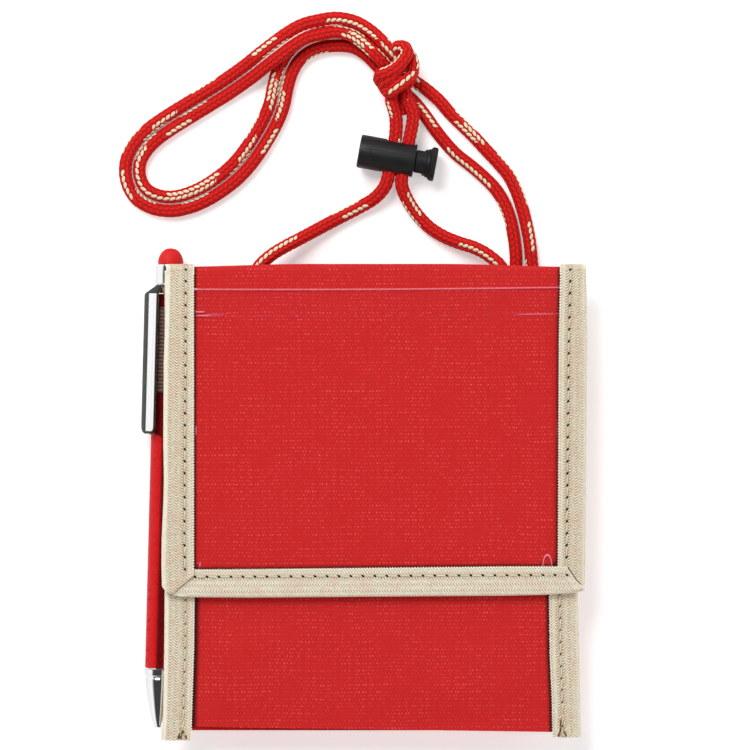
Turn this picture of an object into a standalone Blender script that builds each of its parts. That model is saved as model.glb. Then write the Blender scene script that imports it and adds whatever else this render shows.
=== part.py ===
"""Neck wallet with a flap, a clear window, a knotted cord, a cord lock and a stylus pen.

The wallet lies on its back: +X to the right, +Y up towards the cord, +Z out of
the front. The origin is on the back's resting face, in the middle of the pouch.
All sizes are in metres and all angles in degrees.
"""

import math

import bmesh
import bpy
from mathutils import Matrix, Vector

# The photograph's scale, and the pixel at the middle of the top edge
PIXEL = 0.0002925
EDGE_PIXEL = (375.0, 264.05)

# Sheet materials and the gap between layers that touch
CLOTH = 0.0005
TAPE = 0.00045
VINYL = 0.0002
GAP = 0.00025
FLOOR_CLEARANCE = 0.0001
CUT_OVERRUN = 0.002

# Pouch
POUCH_WIDTH = 0.1222
POUCH_HEIGHT = 0.1392
TAPE_TAIL = 0.0029
MOUTH_DROP = 0.0296
OVERHANG_DEPTH = 0.0193
SEAM_ALLOWANCE = 0.0071
BOTTOM_SEAM = 0.0006
SIDE_TAPE_WIDTH = 0.0091
REAR_TAPE_WIDTH = 0.0065
TRAY_ROUND = 0.005
TRAY_CORNER = 0.008
FLANGE_CORNER = 0.001
TRAY_STEPS = 4
CORNER_STEPS = 4

# Flap, its hem tape and its clear window
FLAP_WIDTH = 0.1240
FLAP_DROP = 0.0974
HEM_TAPE_WIDTH = 0.0084
FOLD_STEPS = 12
WINDOW_DROP = 0.0073
WINDOW_HEM = 0.0082
WINDOW_TUCK = 0.0040

# Hook and loop fastener
FASTENER_WIDTH = 0.060
FASTENER_HEIGHT = 0.020
FASTENER_RISE = 0.0125

# Cord, its tabs and its knot
CORD_DIAMETER = 0.0035
STRAND_GAP = 0.0006
CORD_STEP = 0.0050
TAB_WIDTH = 0.0080
TAB_LENGTH = 0.0085
TAB_HEIGHT = 0.0048
TAB_INSET = 0.0066
TAB_CLEARANCE = 0.0008
LEFT_TAB_X = -0.0360
RIGHT_TAB_X = 0.0385
KNOT_PIXEL = (397.0, 70.0)
KNOT_WIDTH = 0.0128
KNOT_LENGTH = 0.0166
KNOT_HEIGHT = 0.0094
KNOT_LIFT = 0.0040
KNOT_WRAPS = 3
KNOT_GROOVE_SHARE = 0.07
KNOT_LEAN = 35.0

# Cord lock
LOCK_END_PIXEL = (358.9, 150.3)
LOCK_TILT = 10.3
LOCK_LENGTH = 0.0167
LOCK_RADIUS = 0.0049
LOCK_WALL = 0.0009
LOCK_FLOOR = 0.0012
LOCK_SLOT_CENTRE = 0.0118
LOCK_SLOT_HEIGHT = 0.0042
LOCK_SLOT_CLEARANCE = 0.00035
LOCK_ROUND = 0.0004
PLUNGER_CLEARANCE = 0.0003
PLUNGER_WEB = 0.00115
PLUNGER_TRAVEL = 0.0033
PLUNGER_NECK = 0.0035
PLUNGER_HEAD_RADIUS = 0.0050
PLUNGER_HEAD = 0.0028
SPRING_RADIUS = 0.0026
SPRING_WIRE = 0.0004
SPRING_CURLS = 4
SPRING_CURL_POINTS = 10

# Steps of the smooth curves
SPAN_STEPS = 12
GAP_STEPS = 4
KNOT_SEGMENTS = 24
KNOT_RINGS = 16
CLIP_END_STEPS = 12

# Pen: the nose is measured up from its point, the rest down from the top of the dome
PEN_INSET = 0.00043
PEN_DROP = 0.0652
PEN_LEAN = 1.46
PEN_LENGTH = 0.1398
PEN_RADIUS = 0.0045
PEN_BORE = 0.0030
SPIGOT_RADIUS = 0.0027
NOSE_LENGTH = 0.0173
NOSE_TIP_RADIUS = 0.0012
NOSE_HOLE = 0.00075
NOSE_LIP = 0.0012
NOSE_BORE = 0.0016
NOSE_GROOVE_RISE = 0.0146
NOSE_GROOVE = 0.0006
NOSE_SPIGOT = 0.0040
NOSE_SHARES = [(0.99, 0.97), (0.8, 0.87), (0.55, 0.68), (0.3, 0.44), (0.12, 0.22), (0.0, 0.0)]
COLLAR_HEIGHT = 0.0085
COLLAR_RADIUS = 0.00436
COLLAR_RING = 0.0027
COLLAR_SPIGOT = 0.0065
DOME_RADIUS = 0.0037
DOME_HEIGHT = 0.0047
DOME_STEPS = 6
CLIP_LIFT = 0.0026
CLIP_LENGTH = 0.0440
CLIP_INNER = 0.0062
CLIP_THICKNESS = 0.0010
CLIP_WIDTH = 0.0055
CLIP_TURN = 52.0
CLIP_FOOT = 0.0026
CLIP_SLOPE = 0.0024
CLIP_PIP = 0.0030
REFILL_RADIUS = 0.00115
REFILL_DROP = 0.0146
POINT_RISE = 0.0008
POINT_LENGTH = 0.0060
POINT_RADIUS = 0.0005
TURN_STEPS = 24

# Elastic pen loop
LOOP_THICKNESS = 0.00045
LOOP_WIDTH = 0.025
LOOP_DROP = 0.0166

# Routes of the cord in pixels, with the height above the floor in strand pitches
LEFT_END_ROUTE = [
    (254.4, 274.0, 1.73), (262.2, 262.7, 1.70), (275.9, 251.7, 1.40), (292.3, 242.5, 0.92),
    (308.0, 234.0, 0.45), (330.6, 221.7, 0.08), (354.0, 209.5, 0.02), (372.0, 199.5, 0.22),
    (382.5, 190.0, 0.52),
]
LEFT_NECK_ROUTE = [(397.0, 122.0, 0.86), (393.6, 109.0, 0.96), (391.2, 99.5, 1.10)]
RIGHT_END_ROUTE = [
    (505.6, 274.0, 1.73), (498.0, 263.5, 1.70), (485.1, 252.8, 1.40), (470.0, 245.6, 0.92),
    (454.0, 240.5, 0.45), (432.4, 229.0, 0.08), (414.7, 210.7, 0.15), (405.0, 194.0, 0.50),
]
RIGHT_NECK_ROUTE = [(414.0, 122.0, 0.86), (411.5, 108.0, 0.96), (407.0, 98.2, 1.10)]
PAIR_ROUTE = [
    (379.5, 48.0, 1.50), (371.0, 39.5, 1.28), (356.0, 29.0, 1.08), (338.0, 24.5, 1.00),
    (318.0, 27.0, 1.05), (299.0, 33.0, 1.10), (283.0, 44.0, 1.12), (268.0, 55.0, 0.90),
    (250.0, 69.0, 0.36), (236.0, 79.0, 0.06), (223.5, 87.5, 0.0), (198.5, 103.0, 0.0),
    (172.5, 119.0, 0.0), (153.5, 132.0, 0.0), (140.5, 145.0, 0.0), (133.0, 158.5, 0.0),
    (131.5, 172.0, 0.0), (135.5, 187.0, 0.0), (146.0, 197.5, 0.0), (160.0, 202.5, 0.0),
    (175.0, 203.0, 0.0), (189.0, 199.5, 0.0), (203.0, 193.5, 0.0), (217.0, 185.0, 0.0),
    (233.0, 172.5, 0.0), (247.0, 157.0, 0.0), (259.5, 138.5, 0.0), (270.0, 120.0, 0.0),
    (276.5, 103.0, 0.0), (280.5, 84.0, 0.0), (286.5, 66.0, 0.0), (297.5, 50.5, 0.0),
    (314.0, 41.0, 0.0), (335.0, 37.5, 0.0), (354.0, 39.0, 0.0), (369.0, 47.0, 0.0),
    (382.0, 59.5, 0.0), (394.0, 72.0, 0.0),
]
INNER_ROUTE = [
    (404.5, 91.5, 0.0), (419.0, 106.0, 0.0), (434.0, 127.0, 0.0), (454.0, 151.0, 0.0),
    (478.0, 170.5, 0.0), (498.0, 191.0, 0.0), (509.0, 213.0, 0.0), (514.5, 237.0, 0.0),
    (516.5, 260.0, 0.0),
]
OUTER_ROUTE = [
    (417.0, 82.0, 0.0), (434.0, 94.0, 0.0), (451.0, 113.0, 0.0), (473.5, 135.0, 0.0),
    (490.0, 153.0, 0.0), (509.0, 174.5, 0.0), (521.0, 202.0, 0.0), (529.5, 237.0, 0.0),
    (532.0, 260.0, 0.0),
]
HIDDEN_ROUTE = [
    (514.0, 281.0, 0.0), (505.0, 297.0, 0.0), (489.0, 306.5, 0.0), (467.0, 309.0, 0.0),
    (430.0, 309.0, 0.0), (407.0, 307.0, 0.0), (387.0, 298.5, 0.0), (369.0, 286.0, 0.0),
    (352.0, 276.5, 0.0), (334.0, 273.8, 0.0), (317.0, 281.0, 0.0), (309.6, 298.2, 0.0),
    (317.0, 315.4, 0.0), (334.0, 322.6, 0.0), (375.0, 322.8, 0.0), (443.5, 322.8, 0.0),
    (488.0, 321.5, 0.0), (512.0, 315.0, 0.0), (527.0, 301.0, 0.0), (532.5, 282.0, 0.0),
]

# Heights of the layers at the side seams, from the floor up
pen_axis_z = FLOOR_CLEARANCE + LOOP_THICKNESS + GAP + PEN_RADIUS
loop_top_z = pen_axis_z + PEN_RADIUS + GAP + LOOP_THICKNESS
rear_tape_z = loop_top_z + GAP
back_z = rear_tape_z + TAPE + GAP
front_z = back_z + CLOTH + GAP
front_tape_z = front_z + CLOTH + GAP
flap_rear_tape_z = front_tape_z + TAPE + GAP
flap_z = flap_rear_tape_z + TAPE + GAP
window_z = flap_z + CLOTH + GAP
flap_tape_z = window_z + VINYL + GAP

# Edges of the pouch and the flap
flap_left = -FLAP_WIDTH / 2
flap_right = FLAP_WIDTH / 2
pouch_left = flap_left
pouch_right = pouch_left + POUCH_WIDTH
fold_top = POUCH_HEIGHT / 2
tape_bottom = -POUCH_HEIGHT / 2
pouch_bottom = tape_bottom + TAPE_TAIL
flap_bottom = fold_top - FLAP_DROP
mouth_y = fold_top - MOUTH_DROP
wall_left = pouch_left + SEAM_ALLOWANCE
wall_right = pouch_right - SEAM_ALLOWANCE
wall_top = fold_top - OVERHANG_DEPTH
fold_radius = (flap_z + CLOTH - back_z) / 2
hinge_y = fold_top - fold_radius
hinge_z = back_z + fold_radius

# Heights up the pen
collar_top = PEN_LENGTH - DOME_HEIGHT
collar_rise = collar_top - COLLAR_HEIGHT
clip_top = collar_rise + CLIP_LIFT
clip_end = clip_top - CLIP_LENGTH
loop_rise = collar_rise - LOOP_DROP
refill_top = collar_rise - REFILL_DROP

# Cord, cord lock and tabs
cord_radius = CORD_DIAMETER / 2
strand_pitch = CORD_DIAMETER + STRAND_GAP
lock_axis_z = PLUNGER_HEAD_RADIUS + FLOOR_CLEARANCE
tab_z = back_z - GAP - TAB_HEIGHT / 2
tab_face_y = fold_top - TAB_INSET


def clear_scene():
    for old in list(bpy.data.objects):
        bpy.data.objects.remove(old, do_unlink=True)


def make_material(name, colour, roughness, metallic=0.0, alpha=1.0):
    material = bpy.data.materials.new(name)
    material.use_nodes = True
    shader = material.node_tree.nodes["Principled BSDF"]
    shader.inputs["Base Color"].default_value = (*colour, 1.0)
    shader.inputs["Roughness"].default_value = roughness
    shader.inputs["Metallic"].default_value = metallic
    shader.inputs["Alpha"].default_value = alpha
    return material


clear_scene()
parts = bpy.data.collections.new("neck_wallet")
cutters = bpy.data.collections.new("cutters")
bpy.context.scene.collection.children.link(parts)
bpy.context.scene.collection.children.link(cutters)

nylon = make_material("red_nylon", (0.56, 0.015, 0.02), 0.7)
tape_cloth = make_material("beige_tape", (0.66, 0.58, 0.42), 0.8)
vinyl = make_material("clear_vinyl", (0.9, 0.85, 0.85), 0.15, alpha=0.3)
hook_tape = make_material("red_fastener", (0.45, 0.02, 0.025), 0.9)
braid = make_material("red_braid", (0.60, 0.02, 0.015), 0.75)
black_plastic = make_material("black_plastic", (0.012, 0.013, 0.015), 0.45)
steel = make_material("spring_steel", (0.6, 0.6, 0.6), 0.3, metallic=1.0)
red_plastic = make_material("red_gloss_plastic", (0.55, 0.01, 0.012), 0.2)
chrome = make_material("chrome", (0.8, 0.8, 0.82), 0.08, metallic=1.0)
rubber = make_material("red_rubber", (0.55, 0.02, 0.015), 0.6)
elastic = make_material("black_elastic", (0.03, 0.03, 0.03), 0.9)
ink_tube = make_material("ink_tube", (0.05, 0.06, 0.2), 0.4)
brass = make_material("brass", (0.7, 0.5, 0.2), 0.25, metallic=1.0)


# Shared makers

def at_pixel(pixel, z):
    """The place of a photograph pixel at height z."""
    x = (pixel[0] - EDGE_PIXEL[0]) * PIXEL
    y = fold_top + (EDGE_PIXEL[1] - pixel[1]) * PIXEL
    return Vector((x, y, z))


def add_empty(name, matrix):
    empty = bpy.data.objects.new(name, None)
    empty.matrix_world = matrix
    parts.objects.link(empty)
    return empty


def add_object(name, data, material, frame=None):
    """One sub-part, whose data lies in the frame empty's own axes."""
    piece = bpy.data.objects.new(name, data)
    piece.data.materials.append(material)
    parts.objects.link(piece)
    if frame is not None:
        piece.parent = frame
    return piece


def add_cutter(name, mesh, frame=None):
    cutter = bpy.data.objects.new(name, mesh)
    cutters.objects.link(cutter)
    cutter.hide_render = True
    cutter.display_type = "WIRE"
    if frame is not None:
        cutter.parent = frame
    return cutter


def add_boolean(piece, cutter, operation):
    modifier = piece.modifiers.new(operation.lower(), "BOOLEAN")
    modifier.operation = operation
    modifier.solver = "EXACT"
    modifier.object = cutter


def box_mesh(name, low, high):
    """A box between two corners."""
    mesh = bpy.data.meshes.new(name)
    shape = bmesh.new()
    bmesh.ops.create_cube(shape, size=1)
    low = Vector(low)
    high = Vector(high)
    bmesh.ops.scale(shape, vec=high - low, verts=shape.verts)
    bmesh.ops.translate(shape, vec=(low + high) / 2, verts=shape.verts)
    shape.to_mesh(mesh)
    shape.free()
    return mesh


def outline_mesh(name, outlines, depth, matrix):
    """A flat outline, with any holes, made thick along its own Z and laid by matrix."""
    curve = bpy.data.curves.new(name, "CURVE")
    curve.dimensions = "2D"
    curve.fill_mode = "BOTH"
    curve.extrude = depth / 2
    for outline in outlines:
        spline = curve.splines.new("POLY")
        spline.points.add(len(outline) - 1)
        for point, (x, y) in zip(spline.points, outline):
            point.co = (x, y, 0, 1)
        spline.use_cyclic_u = True
    guide = bpy.data.objects.new(name, curve)
    parts.objects.link(guide)
    bpy.context.view_layer.update()
    evaluated = guide.evaluated_get(bpy.context.evaluated_depsgraph_get())
    mesh = bpy.data.meshes.new_from_object(evaluated)
    bpy.data.objects.remove(guide, do_unlink=True)
    shape = bmesh.new()
    shape.from_mesh(mesh)
    bmesh.ops.remove_doubles(shape, verts=shape.verts, dist=1e-6)
    bmesh.ops.transform(shape, matrix=matrix, verts=shape.verts)
    bmesh.ops.recalc_face_normals(shape, faces=shape.faces)
    shape.to_mesh(mesh)
    shape.free()
    return mesh


def cut_mesh(mesh, point, normal):
    """Cut the part of a mesh that lies beyond a plane, and close the cut."""
    shape = bmesh.new()
    shape.from_mesh(mesh)
    every = shape.verts[:] + shape.edges[:] + shape.faces[:]
    cut = bmesh.ops.bisect_plane(shape, geom=every, plane_co=point, plane_no=normal, clear_outer=True)
    edges = [item for item in cut["geom_cut"] if isinstance(item, bmesh.types.BMEdge)]
    bmesh.ops.edgeloop_fill(shape, edges=edges)
    bmesh.ops.recalc_face_normals(shape, faces=shape.faces)
    shape.to_mesh(mesh)
    shape.free()


def add_turned(name, profile, material, frame, closed):
    """A turned piece. Its profile is a list of radius and rise, run down the outer side."""
    mesh = bpy.data.meshes.new(name)
    edges = [(index, index + 1) for index in range(len(profile) - 1)]
    if closed:
        edges.append((len(profile) - 1, 0))
    mesh.from_pydata([(radius, 0, rise) for radius, rise in profile], edges, [])
    piece = add_object(name, mesh, material, frame)
    screw = piece.modifiers.new("turn", "SCREW")
    screw.axis = "Z"
    screw.angle = math.tau
    screw.steps = TURN_STEPS
    screw.render_steps = TURN_STEPS
    screw.use_merge_vertices = True
    screw.merge_threshold = 0.00001
    screw.use_smooth_shade = True
    return piece


def round_corners(left, right, bottom, top, radius):
    """A rounded rectangle, run anticlockwise from its lower right corner."""
    centres = [
        (right - radius, bottom + radius, 270), (right - radius, top - radius, 0),
        (left + radius, top - radius, 90), (left + radius, bottom + radius, 180),
    ]
    outline = []
    for x, y, start in centres:
        for step in range(CORNER_STEPS + 1):
            angle = math.radians(start + 90 * step / CORNER_STEPS)
            outline.append((x + radius * math.cos(angle), y + radius * math.sin(angle)))
    return outline


# Pouch

def make_back_panel():
    """The tray of the back, with its seam flange and the shelf that runs up to the fold."""
    levels = []
    for step in range(TRAY_STEPS + 1):
        angle = math.radians(90 * step / TRAY_STEPS)
        inset = TRAY_ROUND * (1 - math.sin(angle))
        levels.append((inset, TRAY_ROUND * (1 - math.cos(angle))))
    levels.append((0, back_z))
    rings = []
    for inset, z in levels:
        outline = round_corners(
            wall_left + inset, wall_right - inset, pouch_bottom + BOTTOM_SEAM + inset,
            wall_top - inset, TRAY_CORNER)
        rings.append([(x, y, z) for x, y in outline])
    edge = TAPE + GAP
    flange = round_corners(
        pouch_left + edge, pouch_right - edge, pouch_bottom, hinge_y - GAP, FLANGE_CORNER)
    rings.append([(x, y, back_z) for x, y in flange])
    shape = bmesh.new()
    loops = [[shape.verts.new(place) for place in ring] for ring in rings]
    shape.faces.new(reversed(loops[0]))
    count = len(loops[0])
    for lower, upper in zip(loops, loops[1:]):
        for index in range(count):
            after = (index + 1) % count
            shape.faces.new((lower[index], lower[after], upper[after], upper[index]))
    mesh = bpy.data.meshes.new("back_panel")
    shape.to_mesh(mesh)
    shape.free()
    piece = add_object("back_panel", mesh, nylon)
    wall = piece.modifiers.new("cloth", "SOLIDIFY")
    wall.thickness = CLOTH
    wall.offset = -1
    return piece


def make_front_panel():
    edge = TAPE + GAP
    low = (pouch_left + edge, pouch_bottom, front_z)
    high = (pouch_right - edge, mouth_y, front_z + CLOTH)
    return add_object("front_panel", box_mesh("front_panel", low, high), nylon)


def tape_section(width, bottom, top):
    """Section of a tape folded round an edge: outward along X, height along Y."""
    return [
        (0, bottom), (0, top), (-width, top), (-width, top - TAPE), (-TAPE, top - TAPE),
        (-TAPE, bottom + TAPE), (-REAR_TAPE_WIDTH, bottom + TAPE), (-REAR_TAPE_WIDTH, bottom),
    ]


def side_tape_mesh(name, x, side, start, end, bottom, top):
    """A folded tape along Y, on the edge at x that faces side."""
    section = [(side * across, height) for across, height in tape_section(SIDE_TAPE_WIDTH, bottom, top)]
    along = Matrix(((1, 0, 0, x), (0, 0, 1, (start + end) / 2), (0, 1, 0, 0), (0, 0, 0, 1)))
    return outline_mesh(name, [section], end - start, along)


def make_pouch_tapes():
    end = hinge_y - GAP
    for name, x, side in (("pouch_tape_left", pouch_left, 1), ("pouch_tape_right", pouch_right, -1)):
        mesh = side_tape_mesh(name, x, -side, tape_bottom, end, rear_tape_z, front_tape_z + TAPE)
        add_object(name, mesh, tape_cloth)


def make_fastener_strip(name, z, frame, origin):
    """One half of the fastener, between the front panel and the flap."""
    low_y = flap_bottom + FASTENER_RISE
    low = Vector((-FASTENER_WIDTH / 2, low_y, z)) - origin
    high = Vector((FASTENER_WIDTH / 2, low_y + FASTENER_HEIGHT, z + TAPE)) - origin
    return add_object(name, box_mesh(name, low, high), hook_tape, frame)


def make_cord_tab(name, x):
    """A cloth tab under the top edge, in which the cord's end is sewn."""
    low = (x - TAB_WIDTH / 2, tab_face_y - TAB_LENGTH, tab_z - TAB_HEIGHT / 2)
    high = (x + TAB_WIDTH / 2, tab_face_y, tab_z + TAB_HEIGHT / 2)
    return add_object(name, box_mesh(name, low, high), nylon)


def make_pen_loop(matrix):
    """An elastic band round the pen, with a tail that runs to the pouch's wall."""
    inner = PEN_RADIUS + GAP
    outer = inner + LOOP_THICKNESS
    middle = matrix @ Vector((0, 0, loop_rise))
    tail_end = wall_left - GAP - middle.x - LOOP_WIDTH / 2 * math.sin(math.radians(PEN_LEAN))
    join = math.acos(inner / outer)
    outline = [(tail_end, inner), (tail_end, outer), (0, outer)]
    for step in range(1, TURN_STEPS):
        angle = math.radians(90) + (math.tau - join) * step / TURN_STEPS
        outline.append((outer * math.cos(angle), outer * math.sin(angle)))
    outline.append((outer * math.sin(join), inner))
    hole = []
    for step in range(TURN_STEPS):
        angle = math.tau * step / TURN_STEPS
        hole.append((inner * math.cos(angle), inner * math.sin(angle)))
    across = Matrix(((1, 0, 0, 0), (0, -1, 0, 0), (0, 0, -1, loop_rise), (0, 0, 0, 1)))
    mesh = outline_mesh("pen_loop", [outline, hole], LOOP_WIDTH, matrix @ across)
    return add_object("pen_loop", mesh, elastic)


# Flap

def make_flap_fold():
    """The cloth that turns over the top edge and joins the back to the flap."""
    outline = []
    for radius, turn in ((fold_radius, 1), (fold_radius - CLOTH, -1)):
        for step in range(FOLD_STEPS + 1):
            angle = turn * math.radians(180 * step / FOLD_STEPS - 90)
            outline.append((radius * math.cos(angle), radius * math.sin(angle)))
    across = Matrix(((0, 0, 1, 0), (1, 0, 0, hinge_y), (0, 1, 0, hinge_z), (0, 0, 0, 1)))
    edge = TAPE + GAP
    width = POUCH_WIDTH - edge - edge
    middle = Matrix.Translation(((pouch_left + pouch_right) / 2, 0, 0))
    mesh = outline_mesh("flap_fold", [outline], width, middle @ across)
    return add_object("flap_fold", mesh, nylon)


def make_flap_panel(frame, origin):
    edge = TAPE + GAP
    low = Vector((flap_left + edge, flap_bottom + edge, flap_z)) - origin
    high = Vector((flap_right - edge, hinge_y - GAP, flap_z + CLOTH)) - origin
    return add_object("flap_panel", box_mesh("flap_panel", low, high), nylon, frame)


def make_clear_window(frame, origin):
    """The clear sheet, tucked under the tapes, with a double layer along its open top."""
    left = flap_left + SIDE_TAPE_WIDTH
    right = flap_right - SIDE_TAPE_WIDTH
    bottom = flap_bottom + HEM_TAPE_WIDTH
    top = fold_top - WINDOW_DROP
    low = Vector((left - WINDOW_TUCK, bottom - WINDOW_TUCK, window_z)) - origin
    high = Vector((right + WINDOW_TUCK, top, window_z + VINYL)) - origin
    piece = add_object("clear_window", box_mesh("clear_window", low, high), vinyl, frame)
    hem_low = Vector((left + GAP, top - WINDOW_HEM, window_z + VINYL / 2)) - origin
    hem_high = Vector((right - GAP, top, window_z + VINYL + VINYL)) - origin
    hem = add_cutter("window_hem", box_mesh("window_hem", hem_low, hem_high), frame)
    add_boolean(piece, hem, "UNION")
    return piece


def make_flap_tapes(frame, origin):
    """Three folded tapes that meet at mitred corners."""
    top = flap_tape_z + TAPE
    mitre = math.atan2(SIDE_TAPE_WIDTH, HEM_TAPE_WIDTH)
    half_gap = GAP / 2
    for name, x, side in (("flap_tape_left", flap_left, 1), ("flap_tape_right", flap_right, -1)):
        mesh = side_tape_mesh(name, x, -side, flap_bottom, hinge_y, flap_rear_tape_z, top)
        normal = Vector((side * math.cos(mitre), -math.sin(mitre), 0))
        corner = Vector((x, flap_bottom, 0))
        cut_mesh(mesh, corner - normal * half_gap, normal)
        mesh.transform(Matrix.Translation(-origin))
        add_object(name, mesh, tape_cloth, frame)
    section = [(height, -across) for across, height in tape_section(HEM_TAPE_WIDTH, flap_rear_tape_z, top)]
    along = Matrix(((0, 0, 1, 0), (0, 1, 0, flap_bottom), (1, 0, 0, 0), (0, 0, 0, 1)))
    mesh = outline_mesh("flap_tape_bottom", [section], FLAP_WIDTH, along)
    for x, side in ((flap_left, 1), (flap_right, -1)):
        normal = Vector((-side * math.cos(mitre), math.sin(mitre), 0))
        corner = Vector((x, flap_bottom, 0))
        cut_mesh(mesh, corner - normal * half_gap, normal)
    mesh.transform(Matrix.Translation(-origin))
    add_object("flap_tape_bottom", mesh, tape_cloth, frame)


# Cord

def route_places(route):
    """Places of a hand-chosen route of pixels and heights in strand pitches."""
    return [at_pixel((x, y), cord_radius + height * strand_pitch) for x, y, height in route]


def mix(one, two, start, finish, now):
    share = (now - start) / (finish - start)
    return one * (1 - share) + two * share


def smooth_curve(places):
    """A centripetal Catmull-Rom curve through the places, in fine steps."""
    ends = [places[0] * 2 - places[1]] + list(places) + [places[-1] * 2 - places[-2]]
    curve = []
    for first, second, third, fourth in zip(ends, ends[1:], ends[2:], ends[3:]):
        one = math.sqrt((second - first).length)
        two = one + math.sqrt((third - second).length)
        three = two + math.sqrt((fourth - third).length)
        for step in range(SPAN_STEPS):
            now = mix(one, two, 0, SPAN_STEPS, step)
            start = mix(first, second, 0, one, now)
            middle = mix(second, third, one, two, now)
            finish = mix(third, fourth, two, three, now)
            start = mix(start, middle, 0, two, now)
            finish = mix(middle, finish, one, three, now)
            curve.append(mix(start, finish, one, two, now))
    curve.append(places[-1].copy())
    return curve


def even_points(curve, step):
    """Points at equal steps, near the step asked for, from one end to the other."""
    lengths = [0.0]
    for one, two in zip(curve, curve[1:]):
        lengths.append(lengths[-1] + (two - one).length)
    count = max(2, round(lengths[-1] / step))
    points = []
    index = 0
    for number in range(count):
        along = lengths[-1] * number / count
        while lengths[index + 1] < along:
            index += 1
        points.append(mix(curve[index], curve[index + 1], lengths[index], lengths[index + 1], along))
    points.append(curve[-1].copy())
    return points


def route_length(points):
    return sum((two - one).length for one, two in zip(points, points[1:]))


def least_gap(points):
    """The least gap of a tube to itself, between stretches over four diameters apart, and where."""
    fine = []
    for one, two in zip(points, points[1:]):
        fine.extend(one.lerp(two, step / GAP_STEPS) for step in range(GAP_STEPS))
    along = 0.0
    lengths = [along]
    for one, two in zip(fine, fine[1:]):
        along += (two - one).length
        lengths.append(along)
    gaps = []
    for index, one in enumerate(fine):
        for later in range(index + 1, len(fine)):
            if lengths[later] - lengths[index] > 4 * CORD_DIAMETER:
                gaps.append(((fine[later] - one).length - CORD_DIAMETER, one))
    least, place = min(gaps, key=lambda gap: gap[0])
    pixel_x = EDGE_PIXEL[0] + place.x / PIXEL
    pixel_y = EDGE_PIXEL[1] - (place.y - fold_top) / PIXEL
    return f"{least:.5f} at pixel {pixel_x:.0f}, {pixel_y:.0f}"


def add_tube(name, points, diameter, resolution, material, frame=None):
    curve = bpy.data.curves.new(name, "CURVE")
    curve.dimensions = "3D"
    curve.bevel_depth = diameter / 2
    curve.bevel_resolution = resolution
    curve.use_fill_caps = True
    spline = curve.splines.new("POLY")
    spline.points.add(len(points) - 1)
    for point, place in zip(spline.points, points):
        point.co = (*place, 1)
    return add_object(name, curve, material, frame)


def lock_strand(matrix, side):
    """Places of one strand as it runs straight through the lock."""
    rise = LOCK_SLOT_CENTRE + side * strand_pitch / 2
    reach = LOCK_RADIUS + cord_radius
    return [matrix @ Vector((0, across, rise)) for across in (-reach, 0, reach)]


def make_cord_end(name, tab_x, before, after, side, matrix):
    """One end of the cord, from its tab through the lock to the knot."""
    start = Vector((tab_x, tab_face_y + TAB_CLEARANCE, tab_z))
    places = [start] + route_places(before) + lock_strand(matrix, side) + route_places(after)
    points = even_points(smooth_curve(places), CORD_STEP)
    print(name, "length", round(route_length(points), 4))
    add_tube(name, points, CORD_DIAMETER, 2, braid)


def beside(points, offset):
    """The line that runs beside a route in plan, to its right for a positive offset."""
    line = []
    for index, place in enumerate(points):
        along = points[min(index + 1, len(points) - 1)] - points[max(index - 1, 0)]
        right = Vector((along.y, -along.x, 0)).normalized()
        line.append(place + right * offset)
    return line


def make_neck_loop():
    """The rest of the cord: a pair of strands round the loop, then the bight behind the top edge."""
    pair = even_points(smooth_curve(route_places(PAIR_ROUTE)), CORD_STEP)
    right = beside(pair, strand_pitch / 2)
    left = beside(pair, -strand_pitch / 2)
    places = right[-2:]
    places += route_places(INNER_ROUTE)
    places += route_places(HIDDEN_ROUTE)
    places += route_places(reversed(OUTER_ROUTE))
    places += reversed(left[-2:])
    bight = even_points(smooth_curve(places)[SPAN_STEPS:-SPAN_STEPS], CORD_STEP)
    points = right[:-1] + bight + list(reversed(left[:-1]))
    print("cord_neck_loop length", round(route_length(points), 4), "points", len(points))
    print("cord_neck_loop least gap to itself", least_gap(points))
    add_tube("cord_neck_loop", points, CORD_DIAMETER, 2, braid)


def make_knot():
    """The knot's body, with the grooves between its wraps leaning up to the right."""
    mesh = bpy.data.meshes.new("cord_knot")
    shape = bmesh.new()
    bmesh.ops.create_uvsphere(shape, u_segments=KNOT_SEGMENTS, v_segments=KNOT_RINGS, radius=1)
    lean = math.radians(KNOT_LEAN)
    across = Vector((-math.sin(lean), math.cos(lean), 0))
    for vert in shape.verts:
        phase = math.pi * KNOT_WRAPS * (vert.co.dot(across) + 1) / 2
        vert.co *= 1 - KNOT_GROOVE_SHARE * math.cos(phase) ** 2
    size = Vector((KNOT_WIDTH, KNOT_LENGTH, KNOT_HEIGHT)) / 2
    bmesh.ops.scale(shape, vec=size, verts=shape.verts)
    shape.to_mesh(mesh)
    shape.free()
    mesh.shade_smooth()
    knot = add_object("cord_knot", mesh, braid)
    knot.location = at_pixel(KNOT_PIXEL, KNOT_LIFT + KNOT_HEIGHT / 2)


# Cord lock, along its own Z from the closed end of the barrel

def slot_cutter(name, low, high, frame):
    reach = PLUNGER_HEAD_RADIUS + CUT_OVERRUN
    half = LOCK_SLOT_HEIGHT / 2
    return add_cutter(name, box_mesh(name, (-half, -reach, low), (half, reach, high)), frame)


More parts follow.
